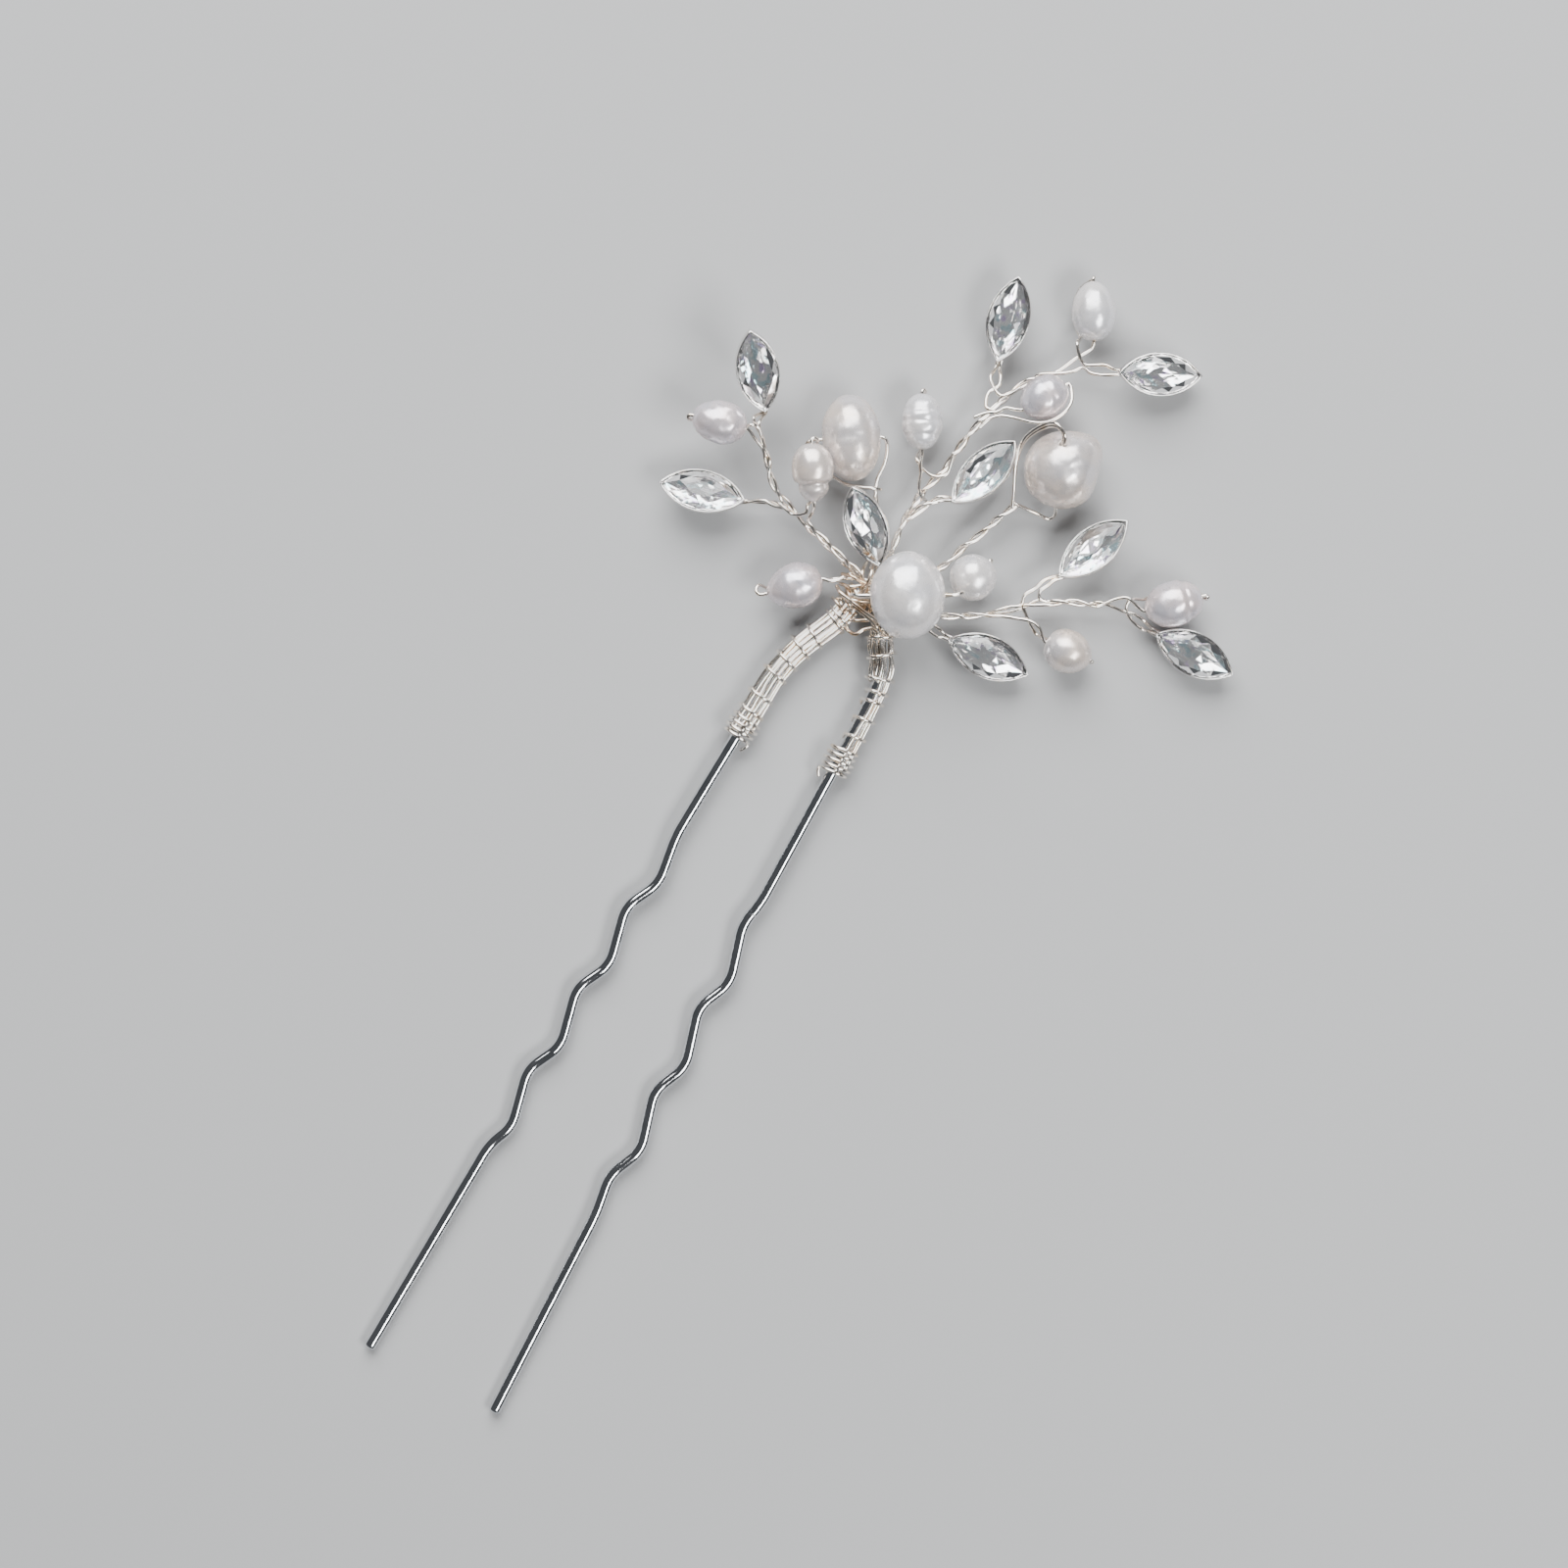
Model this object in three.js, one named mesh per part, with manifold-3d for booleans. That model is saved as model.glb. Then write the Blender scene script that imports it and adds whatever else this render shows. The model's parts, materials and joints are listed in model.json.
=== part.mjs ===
// A bridal hair pin: a crinkled U-shaped pin, and a spray of pearls and navette crystals on twisted wire.
// Millimetres. The legs run down -Y, the spray is at +Y, and the front of the spray faces +Z.
import * as THREE from "three";
import { mergeVertices } from "three/addons/utils/BufferGeometryUtils.js";
import Module from "manifold-3d";

const wasm = await Module();
wasm.setup();

// ---------- driving dimensions ----------
const PIN_RADIUS = 0.6; // the pin's own steel wire
const WIRE_RADIUS = 0.18; // the fine silver-plated wire of the stems, tails and bindings
const TWIST_PITCH = 4.4; // length of one full turn of a doubled stem wire
const TWIST_SECTIONS = 6; // swept sections in that turn
const GAP = 0.1; // clearance between a wire and what it passes
const WIRE_STEP = 0.9; // length between the sections of a swept wire
const PIN_STEP = 1.7; // ... and of the swept pin

const TIP_Y = -69.7; // where the longer leg ends
const TIP_HEIGHT = PIN_RADIUS; // height of the wire's centreline at the tips
const COLLAR_HEIGHT = 1.45; // ... where the bindings start, at y = 0
const BOW_HEIGHT = 1.6; // ... at the bow, where the legs meet
const BOW_Y = 18;

const CRINKLE_COUNT = 4; // zigzags of a leg
const CRINKLE_PITCH = 9.2;
const CRINKLE_JOG = 3.5; // length of a zigzag's slanted part
const SHORT_JOG = 2.4; // ... of the zigzag that ends the row
const CRINKLE_DEPTH = 0.8; // how far a zigzag stands off the leg's own line
const SHORT_DEPTH = -0.2; // ... where the row ends
const SETTLE = 4; // from the right leg's last corner to where it runs straight
const CRINKLE_BEND = 1.3; // length of wire taken by each corner, on each side of it

const TAIL_COUNT = 6; // wire ends laid side by side on each shoulder
const TAIL_RING = PIN_RADIUS + WIRE_RADIUS + GAP / 2; // their distance from the pin's centreline
const BINDING_RING = 1.25; // radius of a binding's helix
const BINDING_SPREAD = 0.07; // how much wider than high its open turns are, on each side
const COLLAR_SPREAD = { left: 0.3, right: 0.2 }; // ... and its loosest turn, near the collar
const LOOSEST_TURN = 2.2;
const WINDING_OUTER = 1.5; // outside of the winding on the bow
const WINDING_LUMPS = 7;
const WINDING_RELIEF = 0.25; // depth between its lumps
const WINDING_TWIST = 0.6; // turns that the lumps make along it

const STONE_LENGTH = 8;
const STONE_WIDTH = 4;
const STONE_CROWN = 0.95; // from the girdle up to the table
const STONE_GIRDLE = 0.2;
const STONE_PAVILION = 1.5; // from the girdle down to the keel
const STONE_FIT = 0.05; // clearance between stone and setting
const SETTING_WALL = 0.16;
const SETTING_LIP = 0.25; // rim of the setting, above the girdle
const SETTING_SHOULDER = -0.3; // where the setting starts to taper, from the girdle
const SETTING_FLOOR = -2.1; // underside of the setting, from the girdle
const SETTING_TAPER = 0.72; // size of the floor against the rim
const STEM_ENTRY = -1.35; // height of the wire hole, from the girdle

const HOLE_RADIUS = 0.36; // a pearl's drill hole
const RING_WIDTH = 0.16; // of a groove round a pearl, against half its length

const steel = new THREE.MeshStandardMaterial({ color: 0xc9ccd0, metalness: 1, roughness: 0.12 });
const silver = new THREE.MeshStandardMaterial({ color: 0xe3ddd6, metalness: 1, roughness: 0.2 });
const bezel = new THREE.MeshStandardMaterial({ color: 0xd6cfc8, metalness: 1, roughness: 0.15 });
const crystal = new THREE.MeshStandardMaterial({ color: 0xf2f6f8, metalness: 0, roughness: 0.02 });
const nacre = new THREE.MeshStandardMaterial({ color: 0xf1ece8, metalness: 0, roughness: 0.25 });

const hairPin = new THREE.Group();
const spray = new THREE.Group();
hairPin.add(spray);

// ---------- solids ----------

function solid(geometry) {
  const bare = geometry.clone();
  for (const name of ["normal", "uv"]) bare.deleteAttribute(name);
  const merged = mergeVertices(bare, 1e-4);
  return new wasm.Manifold(
    new wasm.Mesh({
      numProp: 3,
      vertProperties: new Float32Array(merged.attributes.position.array),
      triVerts: new Uint32Array(merged.index.array),
    }),
  );
}

function geometryOf(manifold) {
  const made = manifold.simplify(0.01).getMesh();
  return new THREE.BufferGeometry()
    .setAttribute("position", new THREE.BufferAttribute(made.vertProperties, 3))
    .setIndex(new THREE.BufferAttribute(made.triVerts, 1))
    .toNonIndexed();
}

function joined(geometries) {
  return geometryOf(geometries.map(solid).reduce((all, next) => all.add(next)));
}

function place(name, geometry, material) {
  geometry.computeVertexNormals();
  const mesh = new THREE.Mesh(geometry, material);
  mesh.name = name;
  spray.add(mesh);
  return mesh;
}

// ---------- wires ----------

const vector = (point) => new THREE.Vector3(...point);
const degrees = THREE.MathUtils.degToRad;

// A curve whose section keeps one side up, and turns about the curve by so many turns from end to end.
class LevelPath extends THREE.Curve {
  constructor(curve, turns = 0) {
    super();
    Object.assign(this, { curve, turns });
  }
  getPoint(t, target = new THREE.Vector3()) {
    return target.copy(this.curve.getPoint(t));
  }
  computeFrenetFrames(steps) {
    const tangents = [];
    const normals = [];
    const binormals = [];
    for (let i = 0; i <= steps; i++) {
      const tangent = this.getTangentAt(i / steps);
      const side = new THREE.Vector3(0, 0, 1).cross(tangent).normalize();
      const angle = (2 * Math.PI * this.turns * i) / steps;
      const normal = side.applyAxisAngle(tangent, angle);
      tangents.push(tangent);
      normals.push(normal);
      binormals.push(new THREE.Vector3().crossVectors(tangent, normal));
    }
    return { tangents, normals, binormals };
  }
}

function swept(shape, extrudePath, stepLength) {
  const steps = Math.max(2, Math.round(extrudePath.getLength() / stepLength));
  return new THREE.ExtrudeGeometry(shape, { steps, extrudePath, bevelEnabled: false });
}

function polygon(radius, sides) {
  const corner = (i) => new THREE.Vector2().set(
    radius * Math.cos((2 * Math.PI * (i + 0.5)) / sides),
    radius * Math.sin((2 * Math.PI * (i + 0.5)) / sides),
  );
  return new THREE.Shape(Array.from({ length: sides }, (_, i) => corner(i)));
}

const smooth = (points) => new THREE.CatmullRomCurve3(points.map(vector), false, "centripetal");

function wire(points) {
  return swept(polygon(WIRE_RADIUS, 5), smooth(points), WIRE_STEP);
}

// Two strands lying against each other, seen end on.
function pairSection() {
  const lobe = (middle, angles) => angles.map((a) => new THREE.Vector2(
    middle + WIRE_RADIUS * Math.cos(degrees(a)),
    WIRE_RADIUS * Math.sin(degrees(a)),
  ));
  return new THREE.Shape([
    ...lobe(WIRE_RADIUS, [-70, 0, 70]),
    ...lobe(-WIRE_RADIUS, [110, 180, 250]),
  ]);
}

// A doubled wire, twisted on itself along a smooth line.
function twisted(points) {
  const line = smooth(points);
  const turns = line.getLength() / TWIST_PITCH;
  return swept(pairSection(), new LevelPath(line, turns), TWIST_PITCH / TWIST_SECTIONS);
}

// ---------- the U pin ----------

const heightAt = (y) => y < 0
  ? THREE.MathUtils.mapLinear(y, TIP_Y, 0, TIP_HEIGHT, COLLAR_HEIGHT)
  : THREE.MathUtils.mapLinear(y, 0, BOW_Y, COLLAR_HEIGHT, BOW_HEIGHT);

// Straight runs joined by rounded corners. Each point is [x, y, length taken by the bend].
function bentLine(points) {
  const at = points.map(([x, y]) => new THREE.Vector3(x, y, heightAt(y)));
  const line = new THREE.CurvePath();
  let from = at[0];
  for (let i = 1; i < at.length - 1; i++) {
    const bend = points[i][2] ?? CRINKLE_BEND;
    const before = at[i].clone().lerp(at[i - 1], bend / at[i].distanceTo(at[i - 1]));
    const after = at[i].clone().lerp(at[i + 1], bend / at[i].distanceTo(at[i + 1]));
    line.add(new THREE.LineCurve3(from, before));
    line.add(new THREE.QuadraticBezierCurve3(before, at[i], after));
    from = after;
  }
  line.add(new THREE.LineCurve3(from, at.at(-1)));
  return line;
}

// The corners of a leg's zigzags, from the top down. The right leg's row starts with the short zigzag and its
// lower corners are evenly spaced. The left leg's row ends with it, and its upper corners are.
// lastY is the last of the even ones.
function crinkles({ topX, tipX, tipY, lastY, shortFirst }) {
  const lineX = (y) => THREE.MathUtils.mapLinear(y, 0, tipY, topX, tipX);
  const corners = [];
  for (let k = CRINKLE_COUNT - 1; k >= 0; k--) {
    const even = lastY + k * CRINKLE_PITCH;
    const short = k === (shortFirst ? CRINKLE_COUNT - 1 : 0);
    const jog = short ? SHORT_JOG : CRINKLE_JOG;
    const [low, high] = shortFirst ? [even, even + jog] : [even - jog, even];
    const highDepth = short && shortFirst ? SHORT_DEPTH : CRINKLE_DEPTH;
    const lowDepth = short && !shortFirst ? SHORT_DEPTH : -CRINKLE_DEPTH;
    corners.push([lineX(high) + highDepth, high], [lineX(low) + lowDepth, low]);
  }
  const settled = lastY - SETTLE;
  if (shortFirst) corners.push([lineX(settled) + SHORT_DEPTH, settled]);
  return corners;
}

const LEFT_LEG = { topX: -4.9, tipX: -7.5, tipY: TIP_Y, lastY: -44.2, shortFirst: false };
const RIGHT_LEG = { topX: 4.8, tipX: 6.1, tipY: TIP_Y + 0.4, lastY: -43.6, shortFirst: true };
const LEFT_SHOULDER = [[-5.5, -11.7], [-4.7, 8.4, 3.4], [-1.75, 14.6, 1.6]];
const RIGHT_SHOULDER = [[2.2, 15, 1.6], [4.4, 11.8, 1.8], [4.7, 7, 2]];
const BOW = [[-1.5, BOW_Y, 1.5], [2, BOW_Y, 1.5]];

function pinLine() {
  return bentLine([
    [LEFT_LEG.tipX, LEFT_LEG.tipY],
    ...crinkles(LEFT_LEG).reverse(),
    ...LEFT_SHOULDER,
    ...BOW,
    ...RIGHT_SHOULDER,
    ...crinkles(RIGHT_LEG),
    [RIGHT_LEG.tipX, RIGHT_LEG.tipY],
  ]);
}

function uPin() {
  return swept(polygon(PIN_RADIUS, 8), new LevelPath(pinLine()), PIN_STEP);
}

// ---------- tails, bindings and the winding on the bow ----------

// Wire ends side by side round the front of the pin, as one scalloped band.
function tailBand(firstAngle, lastAngle) {
  const step = (lastAngle - firstAngle) / (TAIL_COUNT - 1);
  const ring = (radius, angle) => new THREE.Vector2(radius * Math.cos(angle), radius * Math.sin(angle));
  const outline = [];
  for (let i = 0; i < TAIL_COUNT; i++) {
    const middle = firstAngle + i * step;
    outline.push(ring(TAIL_RING + WIRE_RADIUS * 0.4, middle - step / 2));
    outline.push(ring(TAIL_RING + WIRE_RADIUS, middle));
  }
  outline.push(ring(TAIL_RING + WIRE_RADIUS * 0.4, lastAngle + step / 2));
  for (let i = TAIL_COUNT; i >= 0; i -= 2) {
    outline.push(ring(TAIL_RING - WIRE_RADIUS / 2, firstAngle + (i - 0.5) * step));
  }
  return new THREE.Shape(outline);
}

// The part of a line between two of its points, given as shares of its length.
class Stretch extends THREE.Curve {
  constructor(line, from, to) {
    super();
    Object.assign(this, { line, from, to });
  }
  getPoint(t, target = new THREE.Vector3()) {
    return target.copy(this.line.getPointAt(THREE.MathUtils.lerp(this.from, this.to, t)));
  }
}

// Where the pin's line crosses a height y on one side, as a share of its length.
function shareAt(line, y, side) {
  let [low, high] = side < 0 ? [0, 0.5] : [1, 0.5];
  for (let i = 0; i < 30; i++) {
    const middle = (low + high) / 2;
    if (line.getPointAt(middle).y < y) low = middle;
    else high = middle;
  }
  return low;
}

// A wire wound round a line, in turns wider than high. After so many turns, share says how far along the line
// the wire is, and spread how much wider the turn is on each side.
class Winding extends THREE.Curve {
  constructor(line, radius, turns, share, spread) {
    super();
    Object.assign(this, { line, radius, turns, share, spread });
  }
  getPoint(t, target = new THREE.Vector3()) {
    const turn = this.turns * t;
    const angle = 2 * Math.PI * turn;
    const along = this.share(turn);
    const tangent = this.line.getTangentAt(along);
    const side = new THREE.Vector3(0, 0, 1).cross(tangent).normalize();
    const arm = side.clone().applyAxisAngle(tangent, angle);
    target.copy(this.line.getPointAt(along)).addScaledVector(arm, this.radius);
    return target.addScaledVector(side, this.spread(turn) * Math.cos(angle));
  }
}

// Where the bindings start, and which part of the front the tails cover: angles from the pin's left side.
const SHOULDER_TOP = 15.6;
const SHOULDERS = [
  { side: "left", sign: -1, collarY: -0.4, from: 0.05 * Math.PI, to: 0.95 * Math.PI },
  { side: "right", sign: 1, collarY: 0.8, from: 0.35 * Math.PI, to: Math.PI },
];

// Close turns at the collar, then open ones up the shoulder.
const CLOSE_TURNS = 4;
const OPEN_TURNS = 8;
const CLOSE_SHARE = 0.1; // of the shoulder's length

function bindingShare(turn) {
  return turn < CLOSE_TURNS
    ? (turn / CLOSE_TURNS) * CLOSE_SHARE
    : THREE.MathUtils.mapLinear(turn, CLOSE_TURNS, CLOSE_TURNS + OPEN_TURNS, CLOSE_SHARE, 1);
}

function binding(line, collarSpread) {
  const turns = CLOSE_TURNS + OPEN_TURNS;
  const looseness = (turn) => Math.exp(-((turn - LOOSEST_TURN) ** 2));
  const spread = (turn) => THREE.MathUtils.lerp(BINDING_SPREAD, collarSpread, looseness(turn));
  const path = new Winding(line, BINDING_RING, turns, bindingShare, spread);
  path.arcLengthDivisions = 800;
  const steps = turns * 8;
  const section = polygon(WIRE_RADIUS, 4);
  return new THREE.ExtrudeGeometry(section, { steps, extrudePath: path, bevelEnabled: false });
}

// Many turns of wire round the bow, as one lumpy sleeve with the pin's bow through it.
function bowWinding(line) {
  const outline = Array.from({ length: WINDING_LUMPS * 2 }, (_, i) => {
    const angle = (Math.PI * i) / WINDING_LUMPS;
    const radius = WINDING_OUTER - (i % 2) * WINDING_RELIEF;
    return new THREE.Vector2(radius * Math.cos(angle), radius * Math.sin(angle));
  });
  const section = new THREE.Shape(outline);
  section.holes.push(new THREE.Path(polygon(PIN_RADIUS + 2 * GAP, 10).getPoints().reverse()));
  return swept(section, new LevelPath(line, WINDING_TWIST), WIRE_STEP);
}

// ---------- pearls ----------

// Each pearl: centre, heading of its hole away from the stem (degrees from +X), rise of that heading, length,
// width, its grooves as [place along it from -1 to 1, depth], and the side that its wire comes back on
// (degrees from the front).
const PEARLS = {
  pearl_left_outer: { at: [-21, 25.1, 5.6], heading: -165, rise: 3, length: 5.5, width: 4.2 },
  pearl_waisted: {
    at: [-10.8, 25.1, 5.7], heading: 122, rise: 6, length: 5.8, width: 4,
    rings: [[-0.42, 0.17]],
  },
  pearl_ringed: {
    at: [-4.1, 34.8, 2.9], heading: 119, rise: 0, length: 5.6, width: 4.2,
    rings: [[-0.5, 0.05], [0, 0.06], [0.4, 0.05]],
  },
  pearl_upper_middle: { at: [5.1, 42.5, 3.7], heading: 59, rise: 0, length: 4.9, width: 4.3, side: 60 },
  pearl_upper_tip: { at: [5.2, 52.2, 2.8], heading: 120, rise: 0, length: 5.9, width: 4.3 },
  pearl_round_small: { at: [7.5, 24, 2.9], heading: 74, rise: 0, length: 4.6, width: 4.6 },
  pearl_right_tip: {
    at: [25.7, 31.2, 2.8], heading: 44, rise: 0, length: 5.8, width: 4.5,
    rings: [[0.45, 0.06]],
  },
  pearl_right_lower: { at: [19, 22.2, 2.8], heading: 7, rise: 0, length: 4.8, width: 4.3 },
  pearl_left_lower: { at: [-7.2, 14.9, 2.95], heading: -136, rise: 0, length: 5.6, width: 4.5 },
};

const UNSCALED = new THREE.Vector3(1, 1, 1);

// The pearl's own frame: its hole along +Y, the front of the spray along +Z.
function pearlMatrix({ at, heading, rise }) {
  const turn = new THREE.Euler(degrees(rise), 0, degrees(heading - 90), "ZYX");
  return new THREE.Matrix4().compose(vector(at), new THREE.Quaternion().setFromEuler(turn), UNSCALED);
}

function drilledPearl({ length, width, rings = [] }) {
  const rows = 7 + rings.length;
  const mouth = Math.asin(HOLE_RADIUS / (width / 2));
  const outline = Array.from({ length: rows + 1 }, (_, i) => {
    const angle = THREE.MathUtils.lerp(-Math.PI / 2 + mouth, Math.PI / 2 - mouth, i / rows);
    const place = Math.sin(angle);
    const ring = ([where, depth]) => depth * Math.exp(-(((place - where) / RING_WIDTH) ** 2));
    const cut = rings.reduce((sum, each) => sum + ring(each), 0);
    return new THREE.Vector2((width / 2) * Math.cos(angle) * (1 - cut), (length / 2) * place);
  });
  outline.push(outline[0].clone());
  return new THREE.LatheGeometry(outline, 12);
}

// The wire through a lengthwise hole: out of the far end, back along the pearl's "side", and to the stem.
function pearlLoop(pearl, root) {
  const { length, width, side = 180 } = pearl;
  const end = length / 2;
  const off = width / 2 + WIRE_RADIUS + GAP;
  const around = (reach, y) => {
    const angle = degrees(side);
    return new THREE.Vector3(reach * Math.sin(angle), y, reach * Math.cos(angle));
  };
  const local = [
    [0, -end, 0], [0, 0, 0], [0, end, 0], around(0.12, end + 0.32), around(0.6, end + 0.4),
    around(off * 0.72, end * 0.84 + 0.1), around(off, end * 0.35), around(off, -end * 0.35),
    around(off * 0.74, -end * 0.86), around(0.45, -end - 0.35),
  ].map((p) => (p.isVector3 ? p : vector(p)).applyMatrix4(pearlMatrix(pearl)).toArray());
  return wire([root, ...local, root]);
}

// How far the uneven pearl's skin lies from its middle, against an even one. It has a shoulder on the right
// of its far end, and a flat below that.
function strawberry(point) {
  const turn = Math.atan2(point.y, point.x);
  const level = 1 - (2 * point.z) ** 2;
  const swell = (angle, width) => Math.exp(-(((turn - degrees(angle)) / degrees(width)) ** 2));
  return 1 + level * (0.2 * swell(40, 28) - 0.08 * swell(-10, 30));
}

// Pearls drilled across, held by a wire that grips both sides. A hole is listed from where the wire goes in.
const CROSS_DRILLED = {
  pearl_centre: {
    at: [2.8, 19.25, 6.9], heading: 119, size: [7.3, 8.6, 7.4],
    hole: [[-1.1, 17.05, 6.9], [6.7, 21.45, 6.9]],
  },
  pearl_oval_large: {
    at: [-9.3, 30.1, 2.95], heading: 123, size: [5.8, 8.6, 5.7],
    hole: [[-6, 32.2, 2.95], [-12.6, 28, 2.95]],
  },
  pearl_baroque: {
    at: [10, 37.2, 3.6], heading: 119, size: [7.5, 7.5, 6.8], shape: strawberry,
    hole: [[8.4, 39.9, 6.9], [11.5, 33.1, 2.1]],
  },
};

// Points of the wire along a hole, from one mouth to the other.
function through([from, to]) {
  const along = (share) => vector(from).lerp(vector(to), share).toArray();
  return [0, 0.15, 0.5, 0.85, 1].map(along);
}

function rodBetween([from, to], radius) {
  const line = new THREE.LineCurve3(vector(from), vector(to));
  return new THREE.ExtrudeGeometry(polygon(radius, 8), { steps: 1, extrudePath: line, bevelEnabled: false });
}

function crossDrilledPearl({ at, heading, size, hole, shape = () => 1 }) {
  const ball = new THREE.SphereGeometry(0.5, 14, 10).rotateX(Math.PI / 2);
  const places = ball.attributes.position;
  for (let i = 0; i < places.count; i++) {
    const point = new THREE.Vector3().fromBufferAttribute(places, i);
    places.setXYZ(i, ...point.multiplyScalar(shape(point)));
  }
  ball.scale(...size);
  ball.rotateZ(degrees(heading - 90)).translate(...at);
  return geometryOf(solid(ball).subtract(solid(rodBetween(hole, HOLE_RADIUS))));
}

// ---------- navette crystals in their settings ----------

// Each crystal: where its middle is, its heading away from the stem, how far that end rises, and its roll.
const CRYSTALS = {
  upper_left: { at: [-1.6, 47.4, 3.3], heading: 105, rise: 4, roll: -8 },
  upper_right: { at: [13.8, 49.9, 3.2], heading: 28, rise: -14, roll: 6 },
  upper_inner: { at: [3.5, 33.3, 4.3], heading: 73, rise: 5, roll: -20 },
  left_outer: { at: [-19.4, 18.6, 3.4], heading: -163, rise: -4, roll: 10 },
  left_top: { at: [-20.1, 31, 7.4], heading: 130, rise: 27, roll: 4 },
  front: { at: [-3.9, 23.2, 5], heading: 139, rise: 20, roll: -18 },
  right_upper: { at: [16.3, 32, 3.7], heading: 68, rise: 4, roll: -20 },
  lower: { at: [12.5, 18, 2.7], heading: 5, rise: -2, roll: 8 },
  right_outer: { at: [29.8, 27.9, 2.6], heading: 1, rise: -3, roll: 8 },
};

// In a crystal's own frame its length is along +Y, and its table faces +Z.
function crystalMatrix({ at, heading, rise, roll }) {
  const turn = new THREE.Euler(degrees(rise), degrees(roll), degrees(heading - 90), "ZXY");
  return new THREE.Matrix4().compose(vector(at), new THREE.Quaternion().setFromEuler(turn), UNSCALED);
}

// A pointed oval from two arcs, as points round it.
function navetteRing(length, width, perSide) {
  const sagitta = width / 2;
  const radius = (length * length / 4 + sagitta * sagitta) / (2 * sagitta);
  const half = Math.asin(length / 2 / radius);
  const arc = (sign) => Array.from({ length: perSide }, (_, i) => {
    const angle = THREE.MathUtils.lerp(-half, half, i / perSide);
    const x = radius * Math.cos(angle) - (radius - sagitta);
    return new THREE.Vector2(x, radius * Math.sin(angle)).multiplyScalar(sign);
  });
  return [...arc(1), ...arc(-1)];
}

// A closed body through pointed ovals stacked from the top down. Each is { length, width, z }.
function stacked(levels, perSide) {
  const ringAt = ({ length, width, z }) => navetteRing(length, width, perSide).map((p) => [p.x, p.y, z]);
  const rings = levels.map(ringAt);
  const around = perSide * 2;
  const index = [];
  for (let ring = 0; ring < rings.length - 1; ring++) {
    for (let i = 0; i < around; i++) {
      const next = (i + 1) % around;
      const [a, b] = [ring * around + i, ring * around + next];
      const [c, d] = [a + around, b + around];
      index.push(a, c, b, b, c, d);
    }
  }
  const last = (rings.length - 1) * around;
  for (let i = 1; i < around - 1; i++) {
    index.push(0, i, i + 1);
    index.push(last, last + i + 1, last + i);
  }
  return new THREE.BufferGeometry()
    .setAttribute("position", new THREE.Float32BufferAttribute(rings.flat(2), 3))
    .setIndex(index)
    .toNonIndexed();
}

// Crown, girdle and pavilion of a foiled stone.
function stone() {
  const level = (size, z) => ({ length: STONE_LENGTH * size, width: STONE_WIDTH * size, z });
  return stacked([
    level(0.52, STONE_GIRDLE / 2 + STONE_CROWN),
    level(1, STONE_GIRDLE / 2),
    level(1, -STONE_GIRDLE / 2),
    level(0.3, -STONE_GIRDLE / 2 - STONE_PAVILION),
  ], 5);
}

// A thin tapered cup with a wire hole through its pointed end, near the floor.
function setting() {
  const level = (margin, size, z) => ({
    length: (STONE_LENGTH + 2.6 * margin) * size,
    width: (STONE_WIDTH + 2 * margin) * size,
    z,
  });
  const [inside, outside] = [STONE_FIT, STONE_FIT + SETTING_WALL];
  const shell = stacked([
    level(outside, 1, SETTING_LIP),
    level(outside, 1, SETTING_SHOULDER),
    level(outside, SETTING_TAPER, SETTING_FLOOR),
  ], 6);
  const hollow = stacked([
    level(inside, 1, SETTING_LIP + 1),
    level(inside, 1, SETTING_SHOULDER),
    level(inside, SETTING_TAPER, SETTING_FLOOR + SETTING_WALL * 1.2),
  ], 6);
  const hole = rodBetween([[0, -6, STEM_ENTRY], [0, -2.2, STEM_ENTRY]], 0.45);
  return geometryOf(solid(shell).subtract(solid(hollow)).subtract(solid(hole)));
}

// The stem's last points: up to the pointed end of a crystal and into its setting.
function entryPoints(name) {
  const matrix = crystalMatrix(CRYSTALS[name]);
  return [[0, -4.7, STEM_ENTRY], [0, -3.2, STEM_ENTRY]].map((p) => vector(p).applyMatrix4(matrix).toArray());
}

// ---------- stems: one doubled wire each ----------

const stemTo = (name, ...points) => twisted([...points, ...entryPoints(name)]);

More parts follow.
